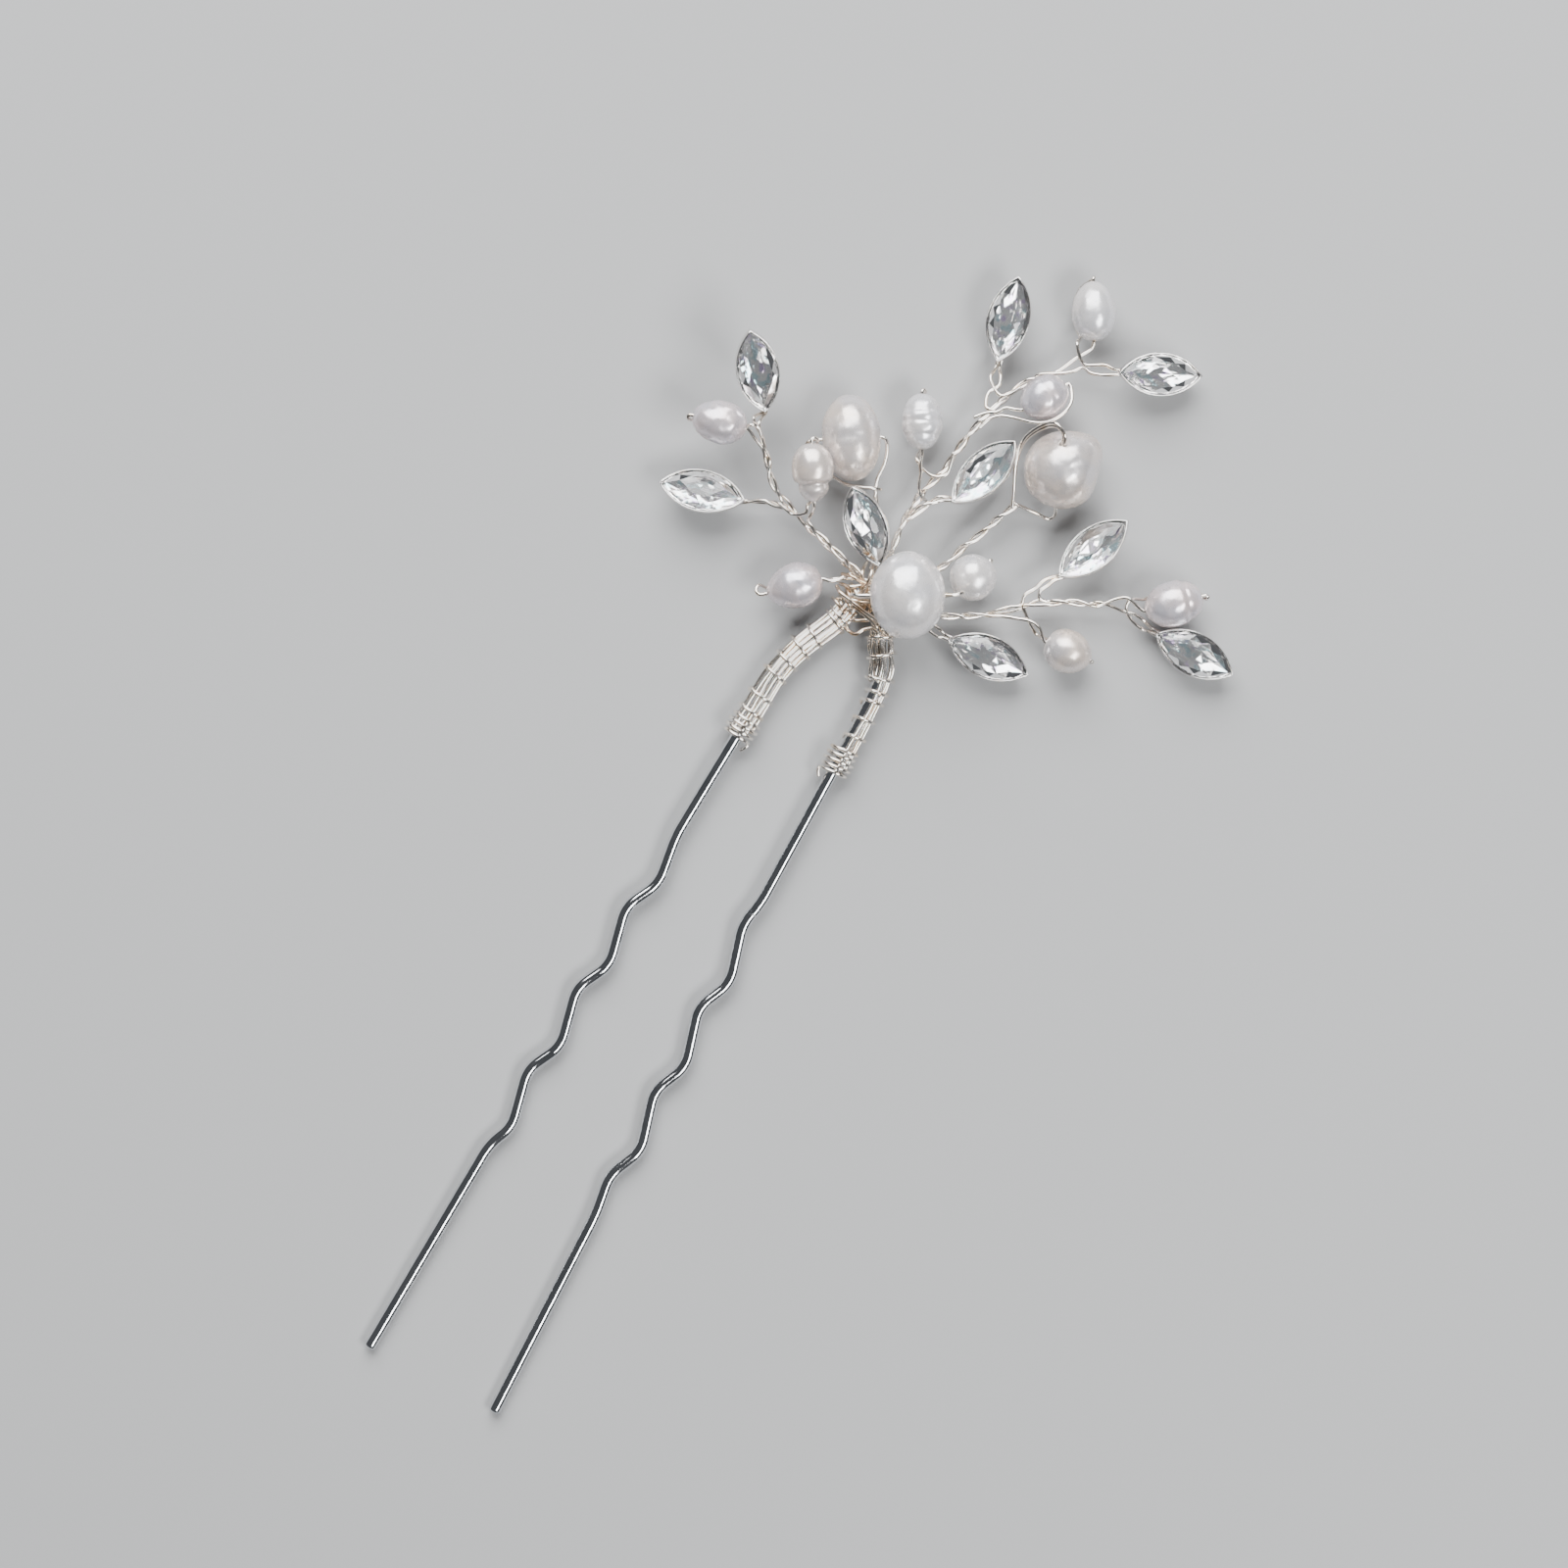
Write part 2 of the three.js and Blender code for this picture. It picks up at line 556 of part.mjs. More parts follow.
const STEMS = {
  wire_left_branch: () => [
    twisted([[-1.8, 19.3, 2.1], [-3.9, 19.6, 2.6], [-8.1, 20.3, 3.2], [-10.7, 21.2, 3.6], [-13.6, 22.4, 4.2],
      [-15.6, 24.3, 4.8], [-17.4, 25.8, 5.3]]),
    stemTo("left_outer", [-10.4, 21.1, 3.5], [-12.7, 21.2, 3.2], [-14.3, 20.8, 2.7]),
    stemTo("left_top", [-15.4, 24.1, 4.7], [-16.6, 25.7, 4.7], [-17.3, 27, 4.5]),
    pearlLoop(PEARLS.pearl_left_outer, [-17.3, 25.7, 5.2]),
    pearlLoop(PEARLS.pearl_waisted, [-9.2, 20.7, 3.4]),
  ],
  wire_upper_branch: () => [
    twisted([[0.3, 19.7, 2.2], [-0.3, 22.2, 2], [-0.6, 27.4, 2.3], [-0.2, 30.7, 2.6], [0.6, 35.9, 2.7],
      [1.4, 38.7, 2.6], [1.8, 40.4, 2.4], [2.6, 42.3, 2], [3.8, 44.3, 1.9], [5, 45.3, 2.2], [5.5, 46.3, 2.4],
      [5.95, 47.3, 2.45]]),
    stemTo("upper_inner", [-0.5, 27.2, 2.3], [0.3, 28.2, 2.6], [1.3, 29.2, 2.9]),
    stemTo("upper_left", [1.7, 40.2, 2.45], [0.3, 41.1, 2.3], [-0.3, 42.3, 2]),
    stemTo("upper_right", [4.9, 45.2, 2.2], [6.9, 46.9, 2.7], [8.7, 47.4, 2.9]),
    twisted([[1.2, 38.1, 2.6], [2.1, 39, 3.1], [3, 39.6, 3.6]]),
    pearlLoop(PEARLS.pearl_ringed, [-0.4, 30.6, 2.6]),
    pearlLoop(PEARLS.pearl_upper_middle, [2.85, 39.5, 3.5]),
    pearlLoop(PEARLS.pearl_upper_tip, [5.7, 46.6, 2.4]),
  ],
  wire_right_branch: () => [
    twisted([[3.9, 18.5, 1.9], [7.1, 19.8, 2], [9.4, 21, 2.3], [11.4, 22.8, 2.5], [14.8, 25, 2.6],
      [18.6, 27, 2.6], [21.4, 29, 2.7]]),
    stemTo("right_upper", [13, 24.1, 2.6], [13.4, 25.9, 2.5], [13.7, 27, 2.5]),
    stemTo("right_outer", [20.1, 28.1, 2.6], [22.2, 28.6, 2.2], [23.6, 28.3, 1.8]),
    pearlLoop(PEARLS.pearl_right_lower, [12.3, 23.4, 2.5]),
    pearlLoop(PEARLS.pearl_right_tip, [21, 28.75, 2.65]),
  ],
  wire_baroque_pearl: () => [
    twisted([[1.4, 19.8, 1.9], [3, 21.6, 1.8], [4.6, 23.9, 1.9], [5.3, 26.2, 2.2], [6.2, 28.2, 2.4],
      [6.9, 30.2, 2.6], [7.7, 32.2, 2.8]]),
    wire([[7.5, 31.8, 2.8], [6.8, 33.4, 3], [6, 35.1, 3.4], [5.4, 36.8, 4], [5.5, 38, 4.6], [6, 39.1, 5.4],
      [6.8, 40, 6.2], [7.6, 40.3, 6.8], ...through(CROSS_DRILLED.pearl_baroque.hole), [11.2, 32.6, 1.8],
      [9.7, 32.4, 2.4], [7.7, 32.2, 2.8]]),
  ],
  wire_oval_pearl: () => [
    twisted([[-1.1, 19.9, 1.2], [-2.3, 22.2, 1.2], [-3.8, 25, 1.5], [-4.8, 26.8, 2]]),
    wire([[-4.7, 26.6, 1.9], [-4.9, 28.4, 2.2], [-5, 30.4, 2.6], [-5.3, 32.1, 2.9],
      ...through(CROSS_DRILLED.pearl_oval_large.hole), [-12.8, 27.4, 2.8], [-11.6, 26.5, 2.5],
      [-9.6, 25.7, 2.5], [-7.3, 25.5, 2.6], [-5.8, 25.9, 2.3], [-4.8, 26.8, 2]]),
  ],
  wire_centre_pearl: () => [
    wire([[0.4, 17.9, 3.35], [-1, 17, 3.6], [-1.9, 16.6, 5], [-1.8, 16.8, 6.5],
      ...through(CROSS_DRILLED.pearl_centre.hole), [7.3, 22.05, 6.5], [7.1, 21.9, 5.4], [6, 21.1, 3.6],
      [4.3, 19.9, 2.8], [3.2, 19.3, 2.8]]),
  ],
  wire_round_pearl: () => [
    twisted([[2.6, 19.4, 1.5], [4.2, 20.5, 1.4], [5.6, 21.2, 1.7]]),
    pearlLoop(PEARLS.pearl_round_small, [5.5, 21.1, 1.7]),
  ],
  wire_left_pearl: () => [
    twisted([[-2.6, 18.5, 2.2], [-3.6, 18.1, 2.5], [-4.3, 17.7, 2.8]]),
    pearlLoop(PEARLS.pearl_left_lower, [-4.2, 17.7, 2.8]),
  ],
  wire_front_crystal: () => [stemTo("front", [-0.6, 19.8, 2.6], [-0.7, 20, 2.8])],
  wire_lower_crystal: () => [stemTo("lower", [4.2, 17.2, 1.7], [5.3, 17.6, 1.6])],
};

// ---------- assembly ----------

const line = pinLine();
line.arcLengthDivisions = 800;
place("hair_pin", uPin(), steel);

for (const { side, sign, collarY, from, to } of SHOULDERS) {
  const shoulder = new Stretch(line, shareAt(line, collarY, sign), shareAt(line, SHOULDER_TOP, sign));
  place(`tails_${side}`, swept(tailBand(from, to), new LevelPath(shoulder), PIN_STEP), silver);
  place(`binding_${side}`, binding(shoulder, COLLAR_SPREAD[side]), silver);
}
const bow = new Stretch(line, shareAt(line, SHOULDER_TOP + 0.5, -1), shareAt(line, SHOULDER_TOP + 0.5, 1));
place("winding_bow", bowWinding(bow), silver);

for (const [name, pieces] of Object.entries(STEMS)) place(name, joined(pieces()), silver);

for (const [name, pearl] of Object.entries(PEARLS)) {
  place(name, drilledPearl(pearl), nacre).applyMatrix4(pearlMatrix(pearl));
}
for (const [name, pearl] of Object.entries(CROSS_DRILLED)) place(name, crossDrilledPearl(pearl), nacre);

for (const [name, crystalPlace] of Object.entries(CRYSTALS)) {
  const matrix = crystalMatrix(crystalPlace);
  place(`crystal_${name}`, stone(), crystal).applyMatrix4(matrix);
  place(`setting_${name}`, setting(), bezel).applyMatrix4(matrix);
}

// The origin is under the middle of the whole pin, on the surface that it lies on.
const bounds = new THREE.Box3().setFromObject(spray, true);
const middle = bounds.getCenter(new THREE.Vector3());
spray.position.set(-middle.x, -middle.y, -bounds.min.z);

export default hairPin;
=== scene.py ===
"""A bridal hair pin: its drawn steel pin, twisted silver wires, nacre pearls and foiled navette crystals.

Routes are in millimetres, in the frame that the wires are laid out in, and become metres in piece().
"""

import json
import math

import bmesh
import bpy
import numpy as np
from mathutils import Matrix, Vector, noise


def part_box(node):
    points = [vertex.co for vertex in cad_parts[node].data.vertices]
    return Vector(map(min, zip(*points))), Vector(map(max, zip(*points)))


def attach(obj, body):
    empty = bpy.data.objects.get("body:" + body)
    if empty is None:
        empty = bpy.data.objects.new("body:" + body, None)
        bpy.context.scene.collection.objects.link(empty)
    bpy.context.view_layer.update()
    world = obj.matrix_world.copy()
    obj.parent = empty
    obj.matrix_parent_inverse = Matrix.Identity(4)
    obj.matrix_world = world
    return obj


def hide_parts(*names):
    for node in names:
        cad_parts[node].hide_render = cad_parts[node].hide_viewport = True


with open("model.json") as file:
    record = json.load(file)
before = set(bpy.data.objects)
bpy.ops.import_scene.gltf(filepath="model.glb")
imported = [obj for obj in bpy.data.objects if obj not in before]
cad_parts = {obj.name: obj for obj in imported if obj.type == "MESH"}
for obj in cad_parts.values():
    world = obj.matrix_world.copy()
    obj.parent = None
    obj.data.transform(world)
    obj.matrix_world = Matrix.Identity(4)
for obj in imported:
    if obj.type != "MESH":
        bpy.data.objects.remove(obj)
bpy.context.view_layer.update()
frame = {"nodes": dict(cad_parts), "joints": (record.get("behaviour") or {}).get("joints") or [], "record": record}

MM = 0.001
UP = np.array([0.0, 0.0, 1.0])
ROOT = "pin_and_spray"

# The laying-out frame's origin lies between the legs, level with the collars. This bead's place in it ties it
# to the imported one.
TIE_BEAD = "pearl_right_lower"
TIE_PLACE = np.array([19.0, 22.2, 2.8])

# ---------- driving dimensions, in millimetres ----------
PIN_RADIUS = 0.6
WIRE_RADIUS = 0.18
STRAND_PITCH = 4.4  # one full turn of a doubled wire
HOLE_RADIUS = 0.36
GAP = 0.1
LINE_STEP = 0.12


def unit(v):
    return v / np.linalg.norm(v, axis=-1, keepdims=True)


def centre_of(node):
    low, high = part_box(node)
    return np.array((low + high) / 2) / MM


ORIGIN = centre_of(TIE_BEAD) - TIE_PLACE


def at(*points):
    """Laid-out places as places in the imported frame, still in millimetres."""
    return np.array(points, float) + ORIGIN


def corners_of(node):
    return np.array([v.co for v in frame["nodes"][node].data.vertices], float) / MM


def axes_of(node):
    """Length, width and depth directions of a CAD solid, from how its corners spread. Depth points up."""
    points = corners_of(node)
    spread = np.linalg.svd(points - points.mean(0), full_matrices=False)[2]
    length, depth = spread[0], spread[2]
    if depth[2] < 0:
        depth = -depth
    if length @ (centre_of(node) - at((1, 17, 2))[0]) < 0:
        length = -length
    return length, np.cross(length, depth), depth


def extent(node, direction):
    along = corners_of(node) @ direction
    return along.max() - along.min()


# ---------- lines ----------


def cut_evenly(line, step):
    ends = np.linalg.norm(np.diff(line, axis=0), axis=1)
    length = np.concatenate([[0], np.cumsum(ends)])
    count = max(3, int(round(length[-1] / step)) + 1)
    places = np.linspace(0, length[-1], count)
    return np.stack([np.interp(places, length, line[:, k]) for k in range(3)], axis=1)


def smooth(points, step=LINE_STEP):
    """A centripetal Catmull-Rom line through the points, in even steps."""
    p = np.asarray(points, float)
    p = np.vstack([2 * p[0] - p[1], p, 2 * p[-1] - p[-2]])
    t = np.linspace(0, 1, 30, endpoint=False)[:, None]
    stretches = []
    for a, b, c, d in zip(p, p[1:], p[2:], p[3:]):
        before, here, after = (np.linalg.norm(e - s) ** 0.5 for s, e in ((a, b), (b, c), (c, d)))
        start = here * ((b - a) / before - (c - a) / (before + here)) + (c - b)
        end = here * ((d - c) / after - (d - b) / (here + after)) + (c - b)
        square = 3 * (c - b) - 2 * start - end
        cube = 2 * (b - c) + start + end
        stretches.append(b + start * t + square * t**2 + cube * t**3)
    return cut_evenly(np.vstack([*stretches, p[-2:-1]]), step)


def directions(line):
    return unit(np.gradient(line, axis=0))


def sides(line):
    """Two directions square to a line at each point, turning about it as little as they can."""
    tangent = directions(line)
    across = np.cross(UP, tangent[0])
    if np.linalg.norm(across) < 0.05:
        across = np.array([1.0, 0.0, 0.0])
    first = np.empty_like(line)
    for i, t in enumerate(tangent):
        across = across - (across @ t) * t
        across = across / np.linalg.norm(across)
        first[i] = across
    return first, np.cross(tangent, first)


# ---------- meshes ----------


class Shell:
    """Corners and faces gathered from several closed shapes."""

    def __init__(self):
        self.corners = []
        self.faces = []
        self.count = 0

    def add(self, corners, faces):
        self.corners.append(np.asarray(corners, float))
        self.faces.extend([[i + self.count for i in face] for face in faces])
        self.count += len(corners)

    def add_rings(self, rings):
        """A closed skin over a stack of rings, with a face over each end."""
        rows, around = rings.shape[:2]
        faces = []
        for row in range(rows - 1):
            for i in range(around):
                a, b = row * around + i, row * around + (i + 1) % around
                faces.append([a, b, b + around, a + around])
        faces.append(list(range(around))[::-1])
        faces.append(list(range((rows - 1) * around, rows * around)))
        self.add(rings.reshape(-1, 3), faces)

    def add_wire(self, line, radius=WIRE_RADIUS, around=10, tip=0.6):
        """A round wire with softened ends. "tip" is the length of the rounding against the radius."""
        first, second = sides(line)
        tangent = directions(line)
        angle = 2 * math.pi * np.arange(around) / around
        circle = np.cos(angle)[:, None, None] * first + np.sin(angle)[:, None, None] * second
        circle = circle.transpose(1, 0, 2)
        rings = line[:, None] + radius * circle
        ends = []
        for i, sign in ((0, -1), (-1, 1)):
            caps = []
            for turn in (0.5, 1.0, 1.35):
                middle = line[i] + sign * tangent[i] * radius * tip * math.sin(turn)
                caps.append(middle + radius * math.cos(turn) * circle[i])
            ends.append(caps)
        self.add_rings(np.array([*ends[0][::-1], *rings, *ends[1]]))


def piece(name, shell, material, body, replaces=(), smooth_shading=True):
    """A Blender object from a shell, standing for the CAD nodes named."""
    mesh = bpy.data.meshes.new(name)
    mesh.from_pydata((np.vstack(shell.corners) * MM).tolist(), [], shell.faces)
    mesh.validate()
    mesh.materials.append(material)
    mesh.polygons.foreach_set("use_smooth", [smooth_shading] * len(mesh.polygons))
    made = bpy.data.objects.new(name, mesh)
    bpy.context.scene.collection.objects.link(made)
    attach(made, body)
    if replaces:
        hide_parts(*replaces)
    return made


# ---------- materials ----------


def shader(name, **values):
    material = bpy.data.materials.new(name)
    material.use_nodes = True
    bsdf = material.node_tree.nodes["Principled BSDF"]
    for key, value in values.items():
        bsdf.inputs[key.replace("_", " ")].default_value = value
    return material, material.node_tree, bsdf


def noise_node(tree, scale, detail=3.0, stretch=(1, 1, 1)):
    """Noise over the object's own place, in cycles per millimetre."""
    place = tree.nodes.new("ShaderNodeTexCoord")
    mapping = tree.nodes.new("ShaderNodeMapping")
    mapping.inputs["Scale"].default_value = stretch
    texture = tree.nodes.new("ShaderNodeTexNoise")
    texture.inputs["Scale"].default_value = scale / MM
    texture.inputs["Detail"].default_value = detail
    tree.links.new(place.outputs["Object"], mapping.inputs["Vector"])
    tree.links.new(mapping.outputs["Vector"], texture.inputs["Vector"])
    return texture.outputs["Fac"]


def ramp(tree, source, stops):
    """Colours or greys along a value."""
    node = tree.nodes.new("ShaderNodeValToRGB")
    elements = node.color_ramp.elements
    while len(elements) < len(stops):
        elements.new(0.5)
    for element, (place, colour) in zip(elements, stops):
        element.position = place
        element.color = (*colour, 1) if len(colour) == 3 else (*[colour[0]] * 3, 1)
    tree.links.new(source, node.inputs["Fac"])
    return node.outputs["Color"]


def bump(tree, bsdf, source, depth):
    """Relief of a depth in millimetres."""
    node = tree.nodes.new("ShaderNodeBump")
    node.inputs["Distance"].default_value = depth * MM
    tree.links.new(source, node.inputs["Height"])
    tree.links.new(node.outputs["Normal"], bsdf.inputs["Normal"])


def steel():
    """Drawn steel, with faint lengthwise scratches and slightly duller patches."""
    material, tree, bsdf = shader("pin_steel", Metallic=1.0, Roughness=0.08)
    patches = noise_node(tree, 0.6)
    tint = ramp(tree, patches, [(0.3, (0.60, 0.62, 0.64)), (0.7, (0.70, 0.71, 0.73))])
    tree.links.new(tint, bsdf.inputs["Base Color"])
    dullness = ramp(tree, patches, [(0.3, (0.04,)), (0.7, (0.10,))])
    tree.links.new(dullness, bsdf.inputs["Roughness"])
    bump(tree, bsdf, noise_node(tree, 6.0, stretch=(1, 0.15, 1)), 0.004)
    return material


def silver(name, bright, warm, where):
    """Silver plate, with patches of another tint. "where" is the noise level that they start from."""
    material, tree, bsdf = shader(name, Metallic=1.0, Roughness=0.16)
    tint = ramp(tree, noise_node(tree, 0.8), [(where, bright), (where + 0.25, warm)])
    tree.links.new(tint, bsdf.inputs["Base Color"])
    dullness = ramp(tree, noise_node(tree, 4.0), [(0.3, (0.10,)), (0.7, (0.22,))])
    tree.links.new(dullness, bsdf.inputs["Roughness"])
    bump(tree, bsdf, noise_node(tree, 12.0), 0.003)
    return material


def nacre(name, body, blush, lustre):
    """Layered pearl: a cloudy body colour, a soft lustre from the layers, and a clearer skin over them."""
    material, tree, bsdf = shader(
        name,
        Metallic=lustre,
        Coat_Weight=0.3,
        Coat_Roughness=0.18,
        Coat_IOR=1.55,
        Sheen_Weight=0.12,
        Sheen_Roughness=0.4,
        Sheen_Tint=(1.0, 0.9, 0.85, 1),
        Thin_Film_Thickness=340.0,
        Thin_Film_IOR=1.45,
    )
    clouds = ramp(tree, noise_node(tree, 0.3), [(0.36, body), (0.64, blush)])
    tree.links.new(clouds, bsdf.inputs["Base Color"])
    dullness = ramp(tree, noise_node(tree, 1.2), [(0.3, (0.22,)), (0.7, (0.34,))])
    tree.links.new(dullness, bsdf.inputs["Roughness"])
    bump(tree, bsdf, noise_node(tree, 0.42, detail=2.5), 0.15)
    return material


def crystal_glass():
    return shader("crystal", Transmission_Weight=1.0, Roughness=0.0, IOR=1.56, Base_Color=(1, 1, 1, 1))[0]


def foil():
    """Silver backing, with the cool and violet glints that a cut stone splits from white light."""
    material, tree, bsdf = shader("foil", Metallic=0.9, Roughness=0.07)
    cool, white, violet = (0.70, 0.88, 0.92), (0.98, 0.98, 0.98), (0.78, 0.66, 0.92)
    glints = [(0.36, cool), (0.45, white), (0.60, white), (0.70, violet)]
    tree.links.new(ramp(tree, noise_node(tree, 0.9, detail=1.0), glints), bsdf.inputs["Base Color"])
    return material


STEEL = steel()
SILVER = silver("silver_wire", (0.93, 0.88, 0.82), (0.86, 0.72, 0.57), 0.5)
WARM_SILVER = silver("silver_wire_hub", (0.90, 0.81, 0.70), (0.66, 0.46, 0.29), 0.44)
BEZEL = silver("setting", (0.92, 0.90, 0.88), (0.78, 0.68, 0.60), 0.56)
GLASS = crystal_glass()
FOIL = foil()
NACRE = {
    "pearl_white": nacre("pearl_white", (0.76, 0.76, 0.79), (0.85, 0.81, 0.79), 0.45),
    "pearl_cream": nacre("pearl_cream", (0.70, 0.67, 0.68), (0.82, 0.71, 0.63), 0.55),
    "pearl_rose": nacre("pearl_rose", (0.66, 0.64, 0.70), (0.80, 0.68, 0.67), 0.55),
}

# ---------- the pin ----------
TIP_Y = -69.7
TIP_HEIGHT = PIN_RADIUS
TIP_ROUNDING = 0.27
COLLAR_HEIGHT = 1.45
BOW_HEIGHT = 1.6
BOW_Y = 18.0
CRINKLE_COUNT = 4
CRINKLE_PITCH = 9.2
CRINKLE_JOG = 3.5
SHORT_JOG = 2.4
CRINKLE_DEPTH = 0.8
SHORT_DEPTH = -0.2
SETTLE = 4.0
CRINKLE_BEND = 1.3


def height_at(y):
    return float(np.interp(y, [TIP_Y, 0, BOW_Y], [TIP_HEIGHT, COLLAR_HEIGHT, BOW_HEIGHT]))


def bent_line(points):
    """Straight runs joined by rounded corners. Each point is x, y and the length taken by its bend."""
    places = [np.array([p[0], p[1], height_at(p[1])]) for p in points]
    t = np.linspace(0, 1, 24)[:, None]
    line = [places[0]]
    for before, corner, after, point in zip(places, places[1:], places[2:], points[1:]):
        bend = point[2] if len(point) > 2 else CRINKLE_BEND
        start = corner + unit(before - corner) * bend
        end = corner + unit(after - corner) * bend
        line.extend((1 - t) ** 2 * start + 2 * t * (1 - t) * corner + t**2 * end)
    line.append(places[-1])
    return np.array(line)


def crinkles(top_x, tip_x, tip_y, last_y, short_first):
    """A leg's zigzag corners, from the top down. Its row starts or ends with a shorter one."""
    corners = []
    for k in range(CRINKLE_COUNT - 1, -1, -1):
        even = last_y + k * CRINKLE_PITCH
        short = k == (CRINKLE_COUNT - 1 if short_first else 0)
        jog = SHORT_JOG if short else CRINKLE_JOG
        low, high = (even, even + jog) if short_first else (even - jog, even)
        high_depth = SHORT_DEPTH if short and short_first else CRINKLE_DEPTH
        low_depth = SHORT_DEPTH if short and not short_first else -CRINKLE_DEPTH
        for y, depth in ((high, high_depth), (low, low_depth)):
            corners.append((np.interp(y, [tip_y, 0], [tip_x, top_x]) + depth, y))
    if short_first:
        y = last_y - SETTLE
        corners.append((np.interp(y, [tip_y, 0], [tip_x, top_x]) + SHORT_DEPTH, y))
    return corners


def pin_line():
    """The pin from the left tip up, over the bow and down to the right tip."""
    right_tip = TIP_Y + 0.4
    left = crinkles(-4.9, -7.5, TIP_Y, -44.2, False)
    right = crinkles(4.8, 6.1, right_tip, -43.6, True)
    corners = [
        (-7.5, TIP_Y + TIP_ROUNDING), *left[::-1], (-5.5, -11.7), (-4.7, 8.4, 3.4), (-1.75, 14.6, 1.6),
        (-1.5, BOW_Y, 1.5), (2, BOW_Y, 1.5),
        (2.2, 15, 1.6), (4.4, 11.8, 1.8), (4.7, 7, 2), *right, (6.1, right_tip + TIP_ROUNDING),
    ]
    return cut_evenly(at(*bent_line(corners)), 0.15)


PIN_LINE = pin_line()


def build_pin():
    shell = Shell()
    shell.add_wire(PIN_LINE, PIN_RADIUS, around=32, tip=0.45)
    piece("drawn_pin", shell, STEEL, ROOT, ["hair_pin"])


# ---------- tails, bindings and the winding on the bow ----------
TAIL_HALF_WIDTH = 0.96
TAIL_HEIGHT = PIN_RADIUS + WIRE_RADIUS + 0.02
SHOULDER_TOP = 15.9
# Heights on the drawing of the bindings' front crossings, from the collar up.
LEFT_TURNS = (-0.4, 0.15, 0.75, 1.4, 2.3, 4.05, 6.6, 8.3, 10.05, 11.65, 13.9, 14.5)
RIGHT_TURNS = (1.05, 1.6, 2.2, 2.8, 3.4, 5.0, 6.9, 8.8, 9.8, 11.05, 13.15, 14.7)
RIGHT_BARRELS = (11.05, 13.15, 14.7)
# The heights between which the bindings rest on the bare side of the pin.
BARE_FROM = 4.2
BARE_TO = 10.4
COLLAR_TURN = 2.2  # the collar's loosest turn


def shoulder(side, collar_y):
    """The pin's own line from a collar up to the bow, on the left (-1) or right (+1)."""
    low, high = (at((0, y, 0))[0][1] for y in (collar_y, SHOULDER_TOP))
    line = PIN_LINE if side < 0 else PIN_LINE[::-1]
    half = line[: len(line) // 2]
    return cut_evenly(half[(half[:, 1] > low) & (half[:, 1] < high)], 0.1)


def frame_along(line):
    """Directions along a line, to the left of it and up."""
    tangent = directions(line)
    left = unit(np.cross(UP, tangent))
    return tangent, left, np.cross(tangent, left)


def wavering(count, size, seed, scale=0.02):
    """A slow wander about zero along a line."""
    return np.array([noise.noise(Vector((i * scale, seed * 3.7, 0.0))) for i in range(count)]) * size


def oval_reach(angle, swell=1.0):
    """How far an oval bundle's skin lies from the pin's middle: wide over the tails, close under the pin."""
    across = TAIL_HALF_WIDTH * swell + WIRE_RADIUS
    rise = np.where(np.sin(angle) > 0, TAIL_HEIGHT + WIRE_RADIUS, PIN_RADIUS)
    return 1 / np.sqrt((np.cos(angle) / across) ** 2 + (np.sin(angle) / rise) ** 2)


def swell_between(line, bands):
    """How much a bundle bulges between the bands tied round it, at each of the line's points."""
    bands = np.array([at((0, y, 0))[0][1] for y in bands])
    swell = np.ones(len(line))
    for low, high in zip(bands, bands[1:]):
        inside = np.clip((line[:, 1] - low) / (high - low), 0, 1)
        swell += 0.22 * np.sin(math.pi * inside)
    return swell


def build_tails(name, line, spans, replaces, swell):
    """Wire ends laid side by side over a shoulder.

    A span is a count, the first and last wire's angles from the left, and its ends as shares of the line."""
    shell = Shell()
    left, up = frame_along(line)[1:]
    n = len(line)
    for count, first, last, low, high in spans:
        for k in range(count):
            angle = np.radians(first + (last - first) * k / max(1, count - 1)) + wavering(n, 0.3, k + first)
            looseness = 1 + 0.05 * (k % 2) + wavering(n, 0.07, k + last)
            reach = (oval_reach(angle, swell) - WIRE_RADIUS + 0.02) * looseness
            route = line + (reach * np.cos(angle))[:, None] * left + (reach * np.sin(angle))[:, None] * up
            start = int(n * low) + 3 * (k % 3)
            shell.add_wire(route[start : int(n * high) - 2 * (k % 2)], around=8)
    piece(name, shell, SILVER, ROOT, replaces)


